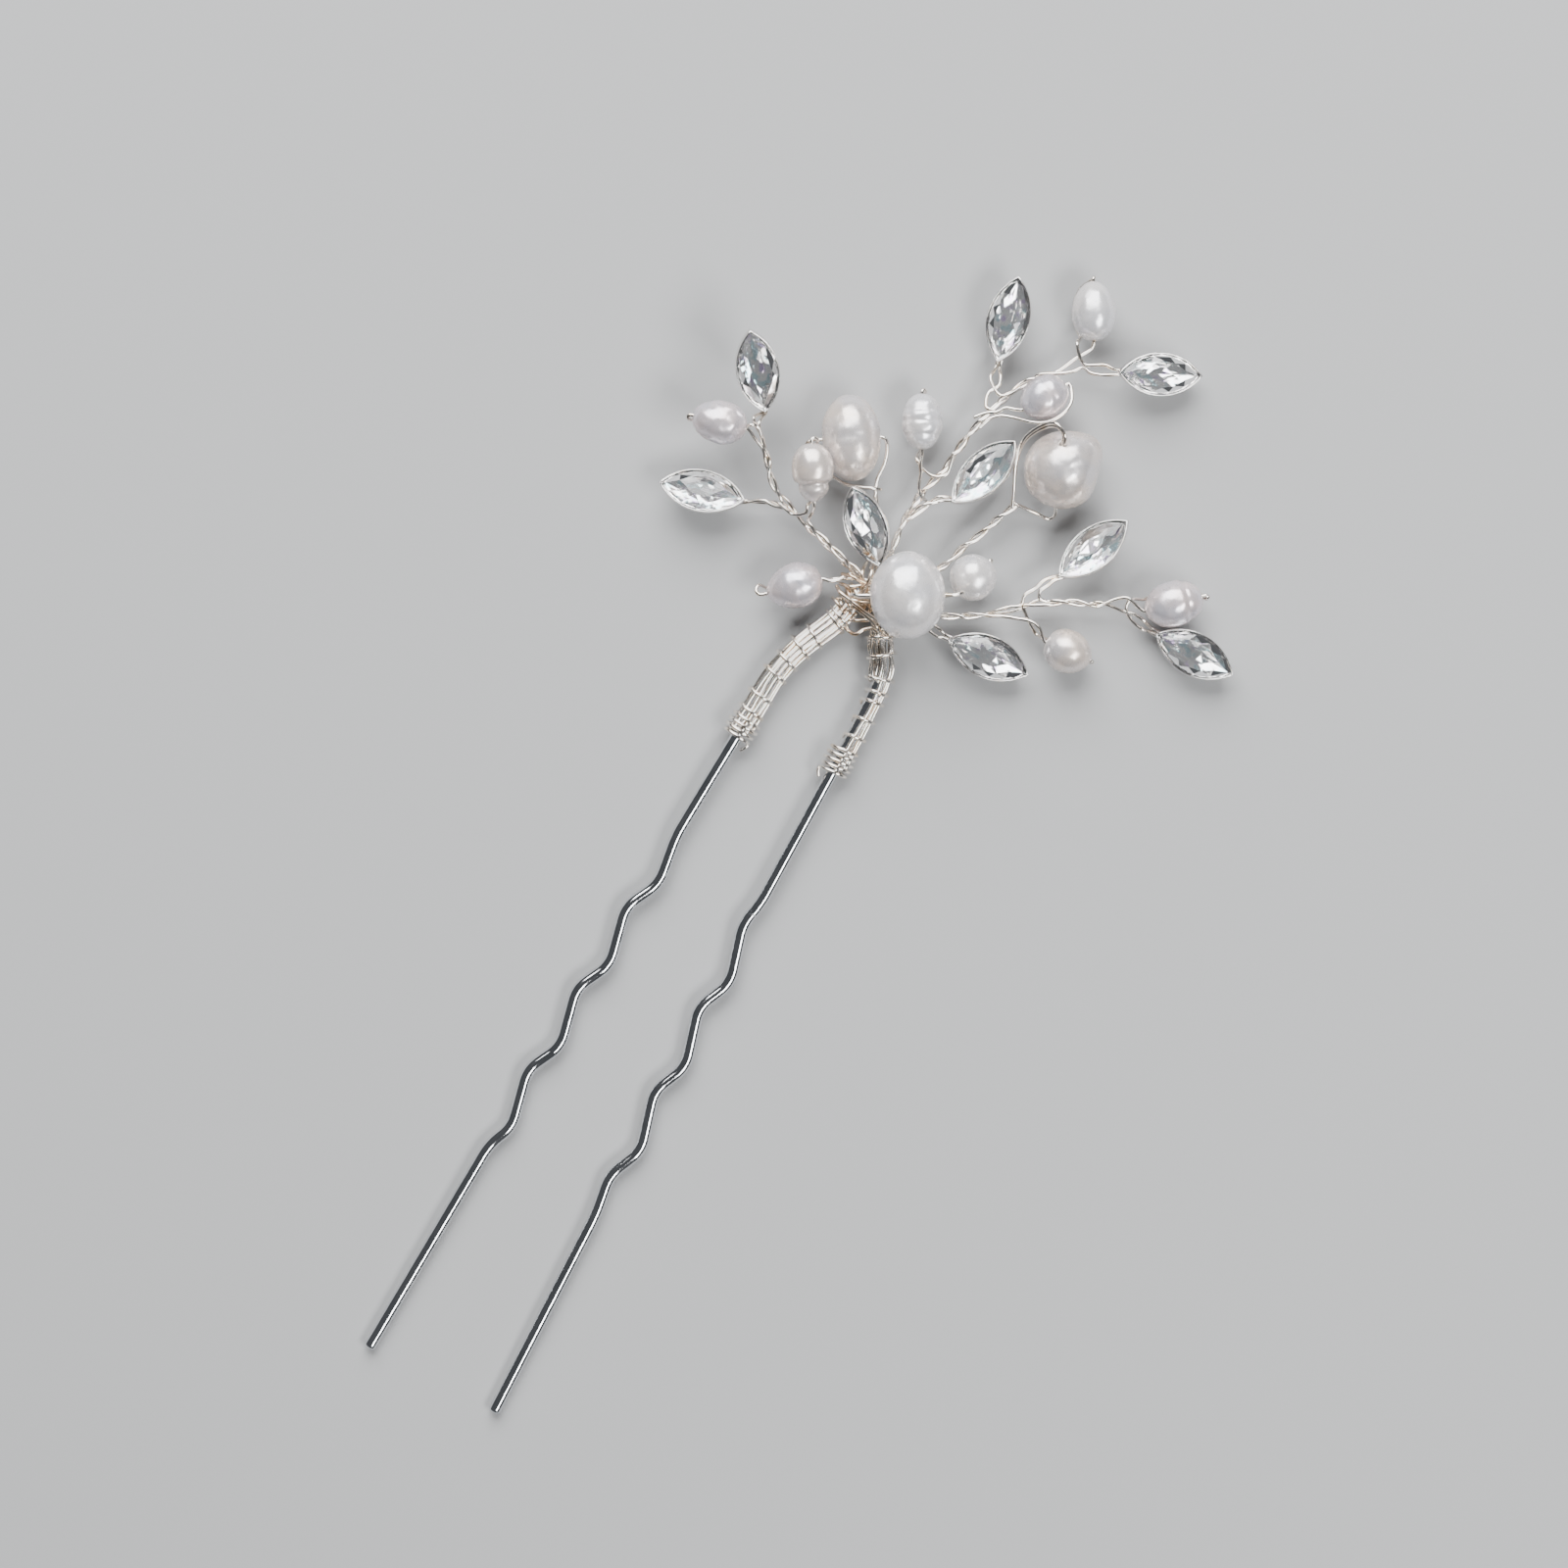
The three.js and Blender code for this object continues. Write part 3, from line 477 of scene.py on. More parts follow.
def build_binding(name, line, turns, sense, swell, bare, collar, replaces):
    """One wire wound up a shoulder, crossing the front at each of the turns' heights.

    "sense" is +1 where a crossing runs from left to right as it climbs. "bare" is a range of angles from the
    left where no tails lie under the wire, so that it rests on the pin: its middle and half its width.
    "collar" is how much wider the loosest turn of the collar is."""
    crossings = np.interp([at((0, y, 0))[0][1] for y in turns], line[:, 1], np.arange(len(line)))
    lean = 1.2
    knots, places = [], []
    for k, crossing in enumerate(crossings):
        knots += [k, k + 0.5]
        places += [crossing - lean, crossing + lean]
    t = np.linspace(0, len(turns) - 0.5, len(turns) * 40)
    place = np.clip(np.interp(t, knots, places), 0, len(line) - 1)
    tangent, left, up = frame_along(line)
    on = [np.stack([np.interp(place, np.arange(len(line)), each[:, k]) for k in range(3)], axis=1)
          for each in (line, left, up)]
    angle = 2 * math.pi * t if sense > 0 else math.pi - 2 * math.pi * t
    bulge = np.interp(place, np.arange(len(line)), swell)
    flare = 1 + collar * np.exp(-((t - COLLAR_TURN) ** 2))
    reach = (oval_reach(angle, bulge) + WIRE_RADIUS) * flare + wavering(len(t), 0.08, 3 * sense, 0.05)
    from_bare = np.abs((np.degrees(angle) - bare[0] + 180) % 360 - 180)
    climbed = np.interp(place, np.arange(len(line)), line[:, 1]) - at((0, 0, 0))[0][1]
    is_bare = (climbed > BARE_FROM) & (climbed < BARE_TO)
    rests = np.clip((bare[1] - from_bare) / 25, 0, 1) * is_bare
    reach = reach + (PIN_RADIUS + WIRE_RADIUS - reach) * rests
    coil = on[0] + (reach * np.cos(angle))[:, None] * on[1] + (reach * np.sin(angle))[:, None] * on[2]
    start = coil[0]
    loose_end = [
        start - on[1][0] * sense * 0.3 - tangent[0] * 0.9 - on[2][0] * 0.1,
        start - tangent[0] * 0.35,
    ]
    shell = Shell()
    shell.add_wire(smooth([*loose_end, *coil[::3]], 0.09))
    piece(name, shell, SILVER, ROOT, replaces)


def build_shoulders():
    left = shoulder(-1, -0.7)
    right = shoulder(1, 0.7)
    even = np.ones(len(left))
    barrels = swell_between(right, RIGHT_BARRELS)
    build_tails("left_tail_wires", left, [(6, 8, 172, 0.04, 1)], ["tails_left"], even)
    right_spans = [(3, 104, 176, 0.03, 1), (4, 8, 80, 0.64, 1)]
    build_tails("right_tail_wires", right, right_spans, ["tails_right"], barrels)
    build_binding("left_binding_wire", left, LEFT_TURNS, -1, even, (270, 70), 0.16, ["binding_left"])
    build_binding("right_binding_wire", right, RIGHT_TURNS, 1, barrels, (20, 66), 0.1, ["binding_right"])
    build_bow_winding()


# Wires that cross the hub's front, as places in the drawing, with the height of each.
HUB_WIRES = [
    (3.5, (-3.7, 18.2), (-2.9, 18.4), (-1.8, 18.4), (-0.6, 18.4), (0.4, 18.2)),
    (3.2, (-3.5, 17.3), (-2.4, 17.5), (-1.8, 17.9), (-1.1, 18.6), (-0.6, 19.4)),
    (3.9, (-3.6, 16.9), (-3, 16.5), (-1.8, 16.3), (0, 16), (1.7, 15.8), (2.9, 15.2)),
    (3.5, (-2.9, 16.6), (-1.3, 16), (0.3, 15.7), (1.7, 15.3), (2.5, 14.7)),
    (3.3, (-2.8, 17.3), (-1.6, 16.5), (-0.3, 16.9), (0.4, 17.7)),
    (3.0, (-2.2, 20.3), (-2.1, 19.3), (-1.6, 18.3), (-1.3, 17.3), (-1.2, 16.3)),
    (3.6, (-1.7, 20.6), (-1.3, 19.7), (-1.1, 18.4), (-1, 17.1), (-1.1, 16)),
    (3.1, (-0.6, 20.2), (-0.3, 18.9), (-0.2, 17.4), (-0.4, 15.8)),
    (3.1, (0.4, 20), (0.6, 18.6), (0.5, 17), (0.2, 15.7)),
    (2.9, (-3, 15.9), (-2, 16.7), (-0.9, 17.6), (0.4, 18.7), (1.6, 19.4)),
    (2.8, (-0.9, 13.8), (0.2, 13.7), (0.8, 14.6), (1.5, 15), (2.3, 14.6), (2.6, 13.9)),
    (2.7, (-1.4, 14.6), (-0.4, 14.9), (0.6, 15.5), (1.8, 16.3), (3, 17)),
    (3.1, (2.4, 14.5), (2.7, 15.9), (2.9, 17.3), (3.2, 18.8)),
]
# Coils wound round the bow: turns, radius, and the shares of the bow between which they lie.
BOW_COILS = ((7, 1.0, 0.0, 0.8), (6, 1.2, 0.1, 1.0), (5, 1.4, 0.2, 0.95))


def build_bow_winding():
    """Turns of wire round the bow, crossed at a slant by the stems' ends."""
    places = ((-2.6, 15.2), (-1.6, 16.6), (0.2, 17.9), (1.9, 16.9), (2.6, 15.4))
    bow = smooth(strand(BOW_HEIGHT, BOW_HEIGHT, *places), 0.02)
    shell = Shell()
    for k, (turns, radius, low, high) in enumerate(BOW_COILS):
        part = bow[int(low * len(bow)) : int(high * len(bow))]
        left, up = frame_along(part)[1:]
        n = len(part)
        angle = 2 * math.pi * (np.linspace(0, turns, n) + k / 3)
        reach = radius + wavering(n, 0.3, k + 40, 0.02)
        coil = part + (reach * np.cos(angle))[:, None] * left + (reach * np.sin(angle))[:, None] * up
        shell.add_wire(smooth(coil[:: max(1, n // (turns * 12))], 0.1))
    for height, *places in HUB_WIRES:
        ends = np.linspace(-1, 1, len(places))
        route = [(x, y, height - 0.9 * end**4) for (x, y), end in zip(places, ends)]
        shell.add_wire(smooth(at(*route)))
    piece("bow_winding_wires", shell, WARM_SILVER, ROOT, ["winding_bow"])


# ---------- pearls ----------
# What each pearl's surface does besides its overall size: rings as (place along it from -1 to 1, depth,
# width), taper as how much thinner the far end is, and lumps as the size of its unevenness.
SHAPES = {
    "pearl_left_outer": dict(taper=0.05, lumps=0.05),
    "pearl_waisted": dict(rings=[(-0.42, 0.16, 0.13)], taper=-0.2, lumps=0.02),
    "pearl_ringed": dict(rings=[(-0.5, 0.05, 0.1), (0.02, 0.06, 0.1), (0.42, 0.05, 0.1)], lumps=0.03),
    "pearl_upper_middle": dict(rings=[(0.3, 0.03, 0.15)], lumps=0.04),
    "pearl_upper_tip": dict(taper=0.1, lumps=0.02),
    "pearl_round_small": dict(lumps=0.015),
    "pearl_right_tip": dict(rings=[(0.45, 0.06, 0.1)], lumps=0.03),
    "pearl_right_lower": dict(taper=0.08, lumps=0.012),
    "pearl_left_lower": dict(taper=0.12, lumps=0.03),
    "pearl_centre": dict(lumps=0.02),
    "pearl_oval_large": dict(lumps=0.03, crease=0.03),
    "pearl_baroque": dict(lumps=0.03, strawberry=True, middle=(10, 37.2, 3.6), size=(7.5, 7.5, 6.8)),
}
AROUND = 72
ROWS = 56


def drill_line(node):
    """Where a pearl is drilled: its centre and its hole's direction."""
    for joint in frame["joints"]:
        if joint["child"] == body_of(node):
            return np.array(joint["pos_m"]) / MM, unit(np.array(joint["axis"], float))
    ends = CROSS_HOLES[node]
    return centre_of(node), unit(at(ends[1])[0] - at(ends[0])[0])


def body_of(node):
    for body, nodes in frame["record"]["behaviour"]["bodies"].items():
        if node in nodes:
            return body
    return ROOT


# Where the wire goes into and out of each pearl that is drilled across, and the heading of its long way.
CROSS_HOLES = {
    "pearl_centre": ((-1.1, 17.05, 6.9), (6.7, 21.45, 6.9)),
    "pearl_oval_large": ((-6, 32.2, 2.95), (-12.6, 28, 2.95)),
    "pearl_baroque": ((8.4, 39.9, 6.9), (11.5, 33.1, 2.1)),
}
LONG_WAYS = {"pearl_centre": 119, "pearl_oval_large": 123, "pearl_baroque": 119}


def strawberry(u, v, w):
    """The uneven pearl's skin against an even one: a shoulder right of its far end, and a flat below it."""
    turn = math.degrees(math.atan2(u, -v))
    level = 1 - w**2
    swell = math.exp(-(((turn - 40) / 28) ** 2))
    flat = math.exp(-(((turn + 10) / 30) ** 2))
    return 1 + level * (0.2 * swell - 0.08 * flat)


def long_way(node, hole):
    if node in LONG_WAYS:
        turn = math.radians(LONG_WAYS[node])
        return np.array([math.cos(turn), math.sin(turn), 0])
    return hole


def build_pearl(node, slot):
    shape = SHAPES[node]
    middle, hole = drill_line(node)
    centre = middle
    if node in CROSS_HOLES:
        middle = at(*CROSS_HOLES[node]).mean(0)
    long = long_way(node, hole)
    wide = unit(np.cross(UP, long))
    deep = np.cross(long, wide)
    half = np.array([extent(node, d) for d in (long, wide, deep)]) / 2
    if "size" in shape:
        half = np.array(shape["size"]) / 2
        centre = at(shape["middle"])[0]
    first = unit(np.cross(hole, UP + 0.01 * long))
    second = np.cross(hole, first)
    seed = 3.1 * list(SHAPES).index(node)

    def surface(direction):
        """How far the pearl's skin lies from its centre in a direction."""
        u, v, w = direction @ long, direction @ wide, direction @ deep
        reach = 1 / math.sqrt((u / half[0]) ** 2 + (v / half[1]) ** 2 + (w / half[2]) ** 2)
        along = u * reach / half[0]
        pinch = 1 - shape.get("taper", 0) * along
        for where, depth, width in shape.get("rings", []):
            pinch -= depth * math.exp(-(((along - where) / width) ** 2))
        pinch -= shape.get("crease", 0) * math.exp(-((along / 0.1) ** 2)) * max(0.0, w)
        lump = noise.noise(Vector(direction * 1.5) + Vector((seed, 0, 0))) * shape["lumps"]
        lump += noise.noise(Vector(direction * 3.4) + Vector((0, seed, 0))) * shape["lumps"] * 0.4
        if "strawberry" in shape:
            reach *= strawberry(u, v, w)
        return reach * (1 + lump) * (1 + (pinch - 1) * math.hypot(v, w))

    def reach_from_hole(direction):
        """The same, from the middle of the hole, which need not be the pearl's."""
        if node not in CROSS_HOLES:
            return surface(direction)
        low, high = 0.0, 2 * half.max()
        for _ in range(14):
            reach = (low + high) / 2
            place = middle + reach * direction - centre
            size = np.linalg.norm(place)
            if size < surface(place / size):
                low = reach
            else:
                high = reach
        return (low + high) / 2

    mouth = HOLE_RADIUS / (half.min() + 0.3)
    rings = []
    for row in range(ROWS + 1):
        polar = mouth + (math.pi - 2 * mouth) * row / ROWS
        ring = []
        for i in range(AROUND):
            turn = 2 * math.pi * i / AROUND
            across = math.cos(turn) * first + math.sin(turn) * second
            direction = math.cos(polar) * -hole + math.sin(polar) * across
            ring.append(middle + reach_from_hole(direction) * direction)
        rings.append(ring)
    turns = 2 * math.pi * np.arange(AROUND) / AROUND
    spokes = np.cos(turns)[:, None] * first + np.sin(turns)[:, None] * second
    walls = []
    for ring, inward in ((rings[0], hole), (rings[-1], -hole)):
        lip = middle + (np.mean(ring, axis=0) - middle) @ hole * hole
        walls.append([lip + inward * depth + HOLE_RADIUS * 0.8 * spokes for depth in (0.08, 0.6)])
    rings = np.array([walls[0][1], walls[0][0], *rings, walls[1][0], walls[1][1]])
    rows = len(rings)
    faces = []
    for row in range(rows):
        after = (row + 1) % rows
        for i in range(AROUND):
            j = (i + 1) % AROUND
            faces.append([row * AROUND + i, after * AROUND + i, after * AROUND + j, row * AROUND + j])
    shell = Shell()
    shell.add(rings.reshape(-1, 3), faces)
    piece(node + "_nacre", shell, NACRE[slot], body_of(node), [node])


# ---------- crystals ----------
GIRDLE = 0.2
CROWN = 0.95
PAVILION = 1.5
STONE_FIT = 0.05
SETTING_WALL = 0.16
SETTING_LIP = 0.25
SETTING_FLOOR = -2.1
SETTING_SHOULDER = -0.3


def navette(length, width, per_side, z, offset=0.0):
    """Points round a pointed oval made of two arcs."""
    sagitta = width / 2
    radius = (length**2 / 4 + sagitta**2) / (2 * sagitta)
    half = math.asin(length / 2 / radius)
    points = []
    for sign in (1, -1):
        for i in range(per_side):
            angle = -half + 2 * half * (i + offset) / per_side
            across = radius * math.cos(angle) - (radius - sagitta)
            points.append((sign * across, sign * radius * math.sin(angle), z))
    return points


def cut_stone(length, width):
    """A navette brilliant: table, stars, kites and girdle facets above, two rows of mains and a keel below.

    Also says which of its faces are foiled."""
    crown, pavilion = CROWN, -PAVILION
    points = [
        *navette(length * 0.40, width * 0.38, 5, crown),
        *navette(length * 0.68, width * 0.68, 5, crown * 0.76, 0.5),
        *navette(length * 0.90, width * 0.91, 5, crown * 0.38),
        *navette(length, width, 10, GIRDLE / 2),
        *navette(length, width, 10, -GIRDLE / 2),
        *navette(length * 0.82, width * 0.80, 5, pavilion * 0.42, 0.5),
        *navette(length * 0.56, width * 0.50, 5, pavilion * 0.78),
        (0, length * 0.12, pavilion), (0, -length * 0.12, pavilion),
    ]
    mesh = bmesh.new()
    for point in points:
        mesh.verts.new(point)
    bmesh.ops.convex_hull(mesh, input=mesh.verts)
    bmesh.ops.dissolve_limit(mesh, angle_limit=math.radians(0.8), verts=mesh.verts, edges=mesh.edges)
    bmesh.ops.recalc_face_normals(mesh, faces=mesh.faces)
    mesh.verts.index_update()
    corners = np.array([v.co for v in mesh.verts])
    faces = [[v.index for v in f.verts] for f in mesh.faces]
    below = [f.normal.z < -0.05 and f.calc_center_median().z < -GIRDLE / 3 for f in mesh.faces]
    mesh.free()
    return corners, faces, below


def setting_cup(length, width):
    """Thin cup of sheet metal with a rolled rim. Its foot is smaller than its mouth."""
    inside, outside = STONE_FIT, STONE_FIT + SETTING_WALL
    foot = 0.72
    profile = [  # margin outside the stone, size, height
        (inside, foot, SETTING_FLOOR + 0.2), (inside, 1.0, SETTING_SHOULDER), (inside, 1.0, 0.16),
        (0.08, 1.0, 0.23), (0.13, 1.0, SETTING_LIP), (0.18, 1.0, 0.2),
        (outside, 1.0, 0.08), (outside, 1.0, SETTING_SHOULDER), (outside, foot, SETTING_FLOOR),
    ]
    rings = []
    for margin, size, z in profile:
        rings.append(navette((length + 2.6 * margin) * size, (width + 2 * margin) * size, 24, z))
    shell = Shell()
    shell.add_rings(np.array(rings)[::-1])
    return shell


def stand(points, centre, axes):
    length, width, depth = axes
    points = np.asarray(points)
    return centre + points[:, :1] * -width + points[:, 1:2] * length + points[:, 2:] * depth


def build_crystal(place):
    stone, cup = "crystal_" + place, "setting_" + place
    axes = axes_of(stone)
    length, width = extent(stone, axes[0]), extent(stone, axes[1])
    depth_middle = (CROWN - PAVILION) / 2
    centre = centre_by_axes(stone, axes) - axes[2] * depth_middle
    corners, faces, below = cut_stone(length, width)
    shell = Shell()
    shell.add(stand(corners, centre, axes), faces)
    gem = piece(f"cut_stone_{place}", shell, GLASS, ROOT, [stone], smooth_shading=False)
    gem.data.materials.append(FOIL)
    for polygon, foiled in zip(gem.data.polygons, below):
        polygon.material_index = 1 if foiled else 0
    shell = setting_cup(length, width)
    shell.corners = [stand(c, centre, axes) for c in shell.corners]
    piece(f"sheet_cup_{place}", shell, BEZEL, ROOT, [cup])


def centre_by_axes(node, axes):
    """The middle of a CAD solid's extent along each of its own axes."""
    points = corners_of(node)
    return sum((points @ axis).max() / 2 * axis + (points @ axis).min() / 2 * axis for axis in axes)


# ---------- stems ----------
STEM_ENTRY = -1.35


def pearl_loop(node, side=180, nub=0.35, curl=1):
    """A wire's points through a pearl: in at its near end, a small loop past the far one, and back beside it.

    "side" is where it comes back, in degrees from the front, "nub" the length of the loop, and "curl" the
    side that the loop lies to."""
    centre, hole = drill_line(node)
    across = unit(np.cross(hole, UP))
    rise = np.cross(across, hole)
    end = extent(node, hole) / 2
    off = extent(node, across) / 2 + WIRE_RADIUS + GAP
    turn = math.radians(side)
    out = math.sin(turn) * across + math.cos(turn) * rise
    aside = curl * across
    tip = [(0.1 * nub, 0, end + 0.75 * nub), (0.6 * nub, 0.1, end + nub), (1.1 * nub, 0.35, end + 0.6 * nub)]
    steps = [
        (0, 0, -end), (0, 0, 0), (0, 0, end), *tip, (0.3 * nub, off * 0.72, end * 0.8),
        (0, off, end * 0.35), (0, off, -end * 0.35), (0, off * 0.74, -end * 0.86),
    ]
    return [centre + beside * aside + reach * out + along * hole for beside, reach, along in steps]


def into(place, aside):
    """The last points of a strand: up to a crystal's pointed end and into its setting, a little aside."""
    stone = "crystal_" + place
    axes = axes_of(stone)
    centre = centre_by_axes(stone, axes) - axes[2] * (CROWN - PAVILION) / 2
    return [centre + y * axes[0] + aside * axes[1] + STEM_ENTRY * axes[2] for y in (-4.7, -3.4)]


def strand(low, high, *places):
    """A wire's points from its places in the drawing, going evenly from one height to another."""
    return at(*[(x, y, z) for (x, y), z in zip(places, np.linspace(low, high, len(places)))])


def twist(points, phase=0.0):
    """Two strands laid round each other along a route, a little loosely."""
    line = smooth(points)
    first, second = sides(line)
    n = len(line)
    turns = np.arange(n) * LINE_STEP / STRAND_PITCH + phase
    angle = 2 * math.pi * (turns + wavering(n, 0.12, phase * 9 + len(points), 0.05))
    spread = WIRE_RADIUS * 1.1 + 0.12 * np.abs(wavering(n, 1.0, phase * 5 + 2, 0.06))
    offset = spread[:, None] * (np.cos(angle)[:, None] * first + np.sin(angle)[:, None] * second)
    return [line + offset, line - offset]


def through(node, share=(0, 0.15, 0.5, 0.85, 1)):
    start, end = (at(p)[0] for p in CROSS_HOLES[node])
    return [start + (end - start) * s for s in share]


def pair(*places, phase=0.0):
    """Points of two strands wound round each other along a route."""
    return [line[::4] for line in twist(at(*places), phase)]


def left_branch():
    """Wires from the hub: to the outer crystal, the waisted pearl, the top crystal and the outer pearl."""
    root = pair((-0.8, 18.5, 2.6), (-3.5, 19.3, 2.9), (-6.6, 20.1, 3.3), (-9.2, 20.8, 3.6))
    under = pair((-1, 18.4, 2), (-3.6, 19.2, 2.3), (-6.6, 20, 2.6), (-9.4, 20.7, 3), phase=0.25)
    outer = pair((-10.8, 21, 3.5), (-12.2, 21, 3.3), (-13.9, 20.6, 2.9), phase=0.6)
    top = pair((-11.2, 21.4, 3.6), (-12.8, 21.9, 4), (-14.2, 22.9, 4.4), (-15.3, 24.2, 4.7), phase=0.3)
    return [
        [*root[0], *outer[0], *into("left_outer", -0.2)[1:]],
        [*root[1], *strand(4, 4.6, (-9.1, 21.3), (-9.1, 22)), *pearl_loop("pearl_waisted", nub=0.55),
         *strand(4.6, 4, (-9.8, 22.3), (-9.6, 21.6), (-10.1, 21.1)), *outer[1], *into("left_outer", 0.2)[1:]],
        [*under[0], *top[0], *strand(4.9, 5, (-16.2, 25.2), (-17.1, 26.1), (-17.7, 26.9)),
         *into("left_top", 0.2)],
        [*under[1], *top[1], *strand(4.9, 5.2, (-16.2, 24.9), (-17.2, 25.3)),
         *pearl_loop("pearl_left_outer", nub=0.4, curl=-1),
         *strand(5.5, 4.7, (-18.3, 26.3), (-17.7, 26.5), (-16.9, 25.9), (-15.6, 24.5))],
        [*strand(4.6, 4.9, (-15, 23.9), (-15.9, 24.9), (-16.8, 25.9), (-17.8, 26.5), (-18.4, 27.1)),
         *into("left_top", -0.2)],
    ]


def upper_branch():
    """Two wires up the middle, each leaving and joining others at every leaf."""
    low = pair((0.2, 19.6, 2.2), (-0.5, 22.2, 2.1), (-0.9, 24.8, 2.2), (-0.9, 27.3, 2.4), (-0.6, 29.5, 2.6),
               (0, 31.5, 2.7), (0.2, 33.8, 2.7), (0.5, 36, 2.7), (0.9, 38.1, 2.7))
    high = pair((1.5, 39.9, 2.6), (2.1, 41.5, 2.4), (2.8, 42.9, 2.2), (3.7, 44.2, 2.3), phase=0.3)
    inner = pair((-0.7, 25.8, 2.6), (-0.2, 27.2, 2.8), (0.5, 28.4, 2.9), (1.2, 29.3, 3), phase=0.2)
    return [
        [*low[0], *high[0], *strand(2.4, 2.7, (5, 45.4), (5.5, 46.4), (5.9, 47.3), (6.4, 48.1), (6.8, 48.9)),
         *pearl_loop("pearl_upper_tip", side=-135, nub=0.3),
         *strand(2.9, 3, (5.3, 48.7), (6, 47.8), (6.9, 47.2), (7.8, 47.6), (8.7, 48.1), (9.6, 48.2)),
         *into("upper_right", -0.2)[1:]],
        [*low[1], *high[1],
         *strand(2.5, 2.8, (4.5, 44.9), (5.4, 45.4), (6.3, 46.1), (7, 46.9), (7.8, 46.8), (8.8, 47.1),
                 (9.7, 47.6)),
         *into("upper_right", 0.2)[1:]],
        [*inner[0], *into("upper_inner", -0.2)[1:]],
        [*inner[1], *into("upper_inner", 0.2)[1:]],
        [*strand(3, 3, (0.1, 28.2), (-0.9, 28.6), (-1.4, 29.3), (-1.8, 30.4), (-2.2, 31)),
         *pearl_loop("pearl_ringed", nub=0.3),
         *strand(2.8, 3, (-2.8, 31.4), (-1.9, 30.9), (-0.6, 30.7), (0.4, 31.4), (0.3, 32.5), (0, 33.6))],
        [*strand(2.9, 3.4, (0.1, 37.6), (0.9, 38.5), (1.8, 39.1), (2.3, 39.8), (3.1, 40.1)),
         *pearl_loop("pearl_upper_middle", side=72, nub=0.3),
         *strand(3.2, 2.8, (3.2, 39.3), (2.2, 38.9), (1.5, 38.2), (1, 36.9))],
        [*strand(3, 2.2, (2.6, 42.2), (2, 41.2), (1.3, 40.7), (0.3, 41.1), (-0.4, 41.8)),
         *into("upper_left", -0.2)],
        [*strand(3, 2.1, (1.5, 39.1), (0.7, 39), (0.3, 39.6), (0.2, 40.5), (0.7, 41.5), (0.4, 42.4)),
         *into("upper_left", 0.2)],
    ]


def right_branch():
    """Wires from the hub to the upper crystal, and through both pearls to the outer crystal."""
    root = pair((3.2, 18.2, 2.3), (6.4, 19.2, 2.3), (8.6, 20.4, 2.4), (10.5, 21.6, 2.5))
    outer = pair((15.1, 25.4, 2.5), (16.8, 26.5, 2.6), (18.4, 27.1, 2.6), (19.6, 27.8, 2.6), phase=0.4)
    return [
        [*root[0],
         *strand(2.6, 2.8, (11.2, 22.5), (11.9, 23.2), (12.8, 23.9), (12.7, 25), (13.2, 25.9), (13.7, 27.2)),
         *into("right_upper", -0.2)[1:]],
        [*root[1], *strand(2.6, 2.7, (12, 22.2), (13.1, 22.6), (14.4, 23), (15.4, 22.9)),
         *pearl_loop("pearl_right_lower", side=-165, nub=0.2),
         *strand(2.3, 2.6, (15.6, 22.2), (14.8, 22.6), (13.7, 23.4), (13.1, 24), (13.9, 24.5)), *outer[0],
         *strand(2.7, 2.8, (20.5, 28.8), (21.5, 29.5)), *pearl_loop("pearl_right_tip", side=-140, nub=0.5),
         *strand(2.5, 2.2, (21.9, 29.6), (21.8, 28.8), (22.4, 28.1), (23.4, 27.7), (24.4, 27.6)),
         *into("right_outer", 0.2)],
        [*into("right_upper", 0.2)[:0:-1],
         *strand(2.7, 2.6, (14.5, 27.6), (14.2, 26.9), (13.8, 26), (14.1, 25.4)), *outer[1],
         *strand(2.5, 2.2, (20.7, 28.1), (21.8, 28.2), (22.9, 28.5), (24, 28.4)), *into("right_outer", -0.2)],
        strand(1.9, 2.2, (3.9, 18.1), (7.1, 19.5), (9.3, 20.9), (11.2, 22.1), (12.9, 23.5), (13.9, 25),
               (14.4, 25.4)),
    ]


def baroque_wires():
    """A twisted stem, and its two ends hooked round the pearl's side and in at the front."""
    hook = np.array([(7.5, 31.8, 2.8), (6.8, 33.4, 3), (6, 35.1, 3.4), (5.5, 36.8, 4), (5.5, 38, 4.6),
                     (6, 39.1, 5.4), (6.8, 40, 6.2), (7.6, 40.3, 6.8)])
    beside = hook + np.linspace(0, 1, len(hook))[:, None] * np.array([-0.28, 0.16, 0.02]) + (0, 0, 0.2)
    under = at((11.2, 32.6, 1.8), (9.7, 32.4, 2.4), (7.7, 32.2, 2.8))
    mouth = [place + (0.1, 0.1, 0.2) for place in through("pearl_baroque", (0.02, 0.12))]
    stem = at((1.4, 19.8, 1.9), (3, 21.6, 1.8), (4.6, 23.9, 1.9), (5.3, 26.2, 2.2), (6.2, 28.2, 2.4),
              (6.9, 30.2, 2.6), (7.7, 32.2, 2.8))
    yield from twist(stem, 0.4)
    yield smooth([*at(*hook), *through("pearl_baroque"), *under])
    yield smooth([*at(*beside), *mouth])


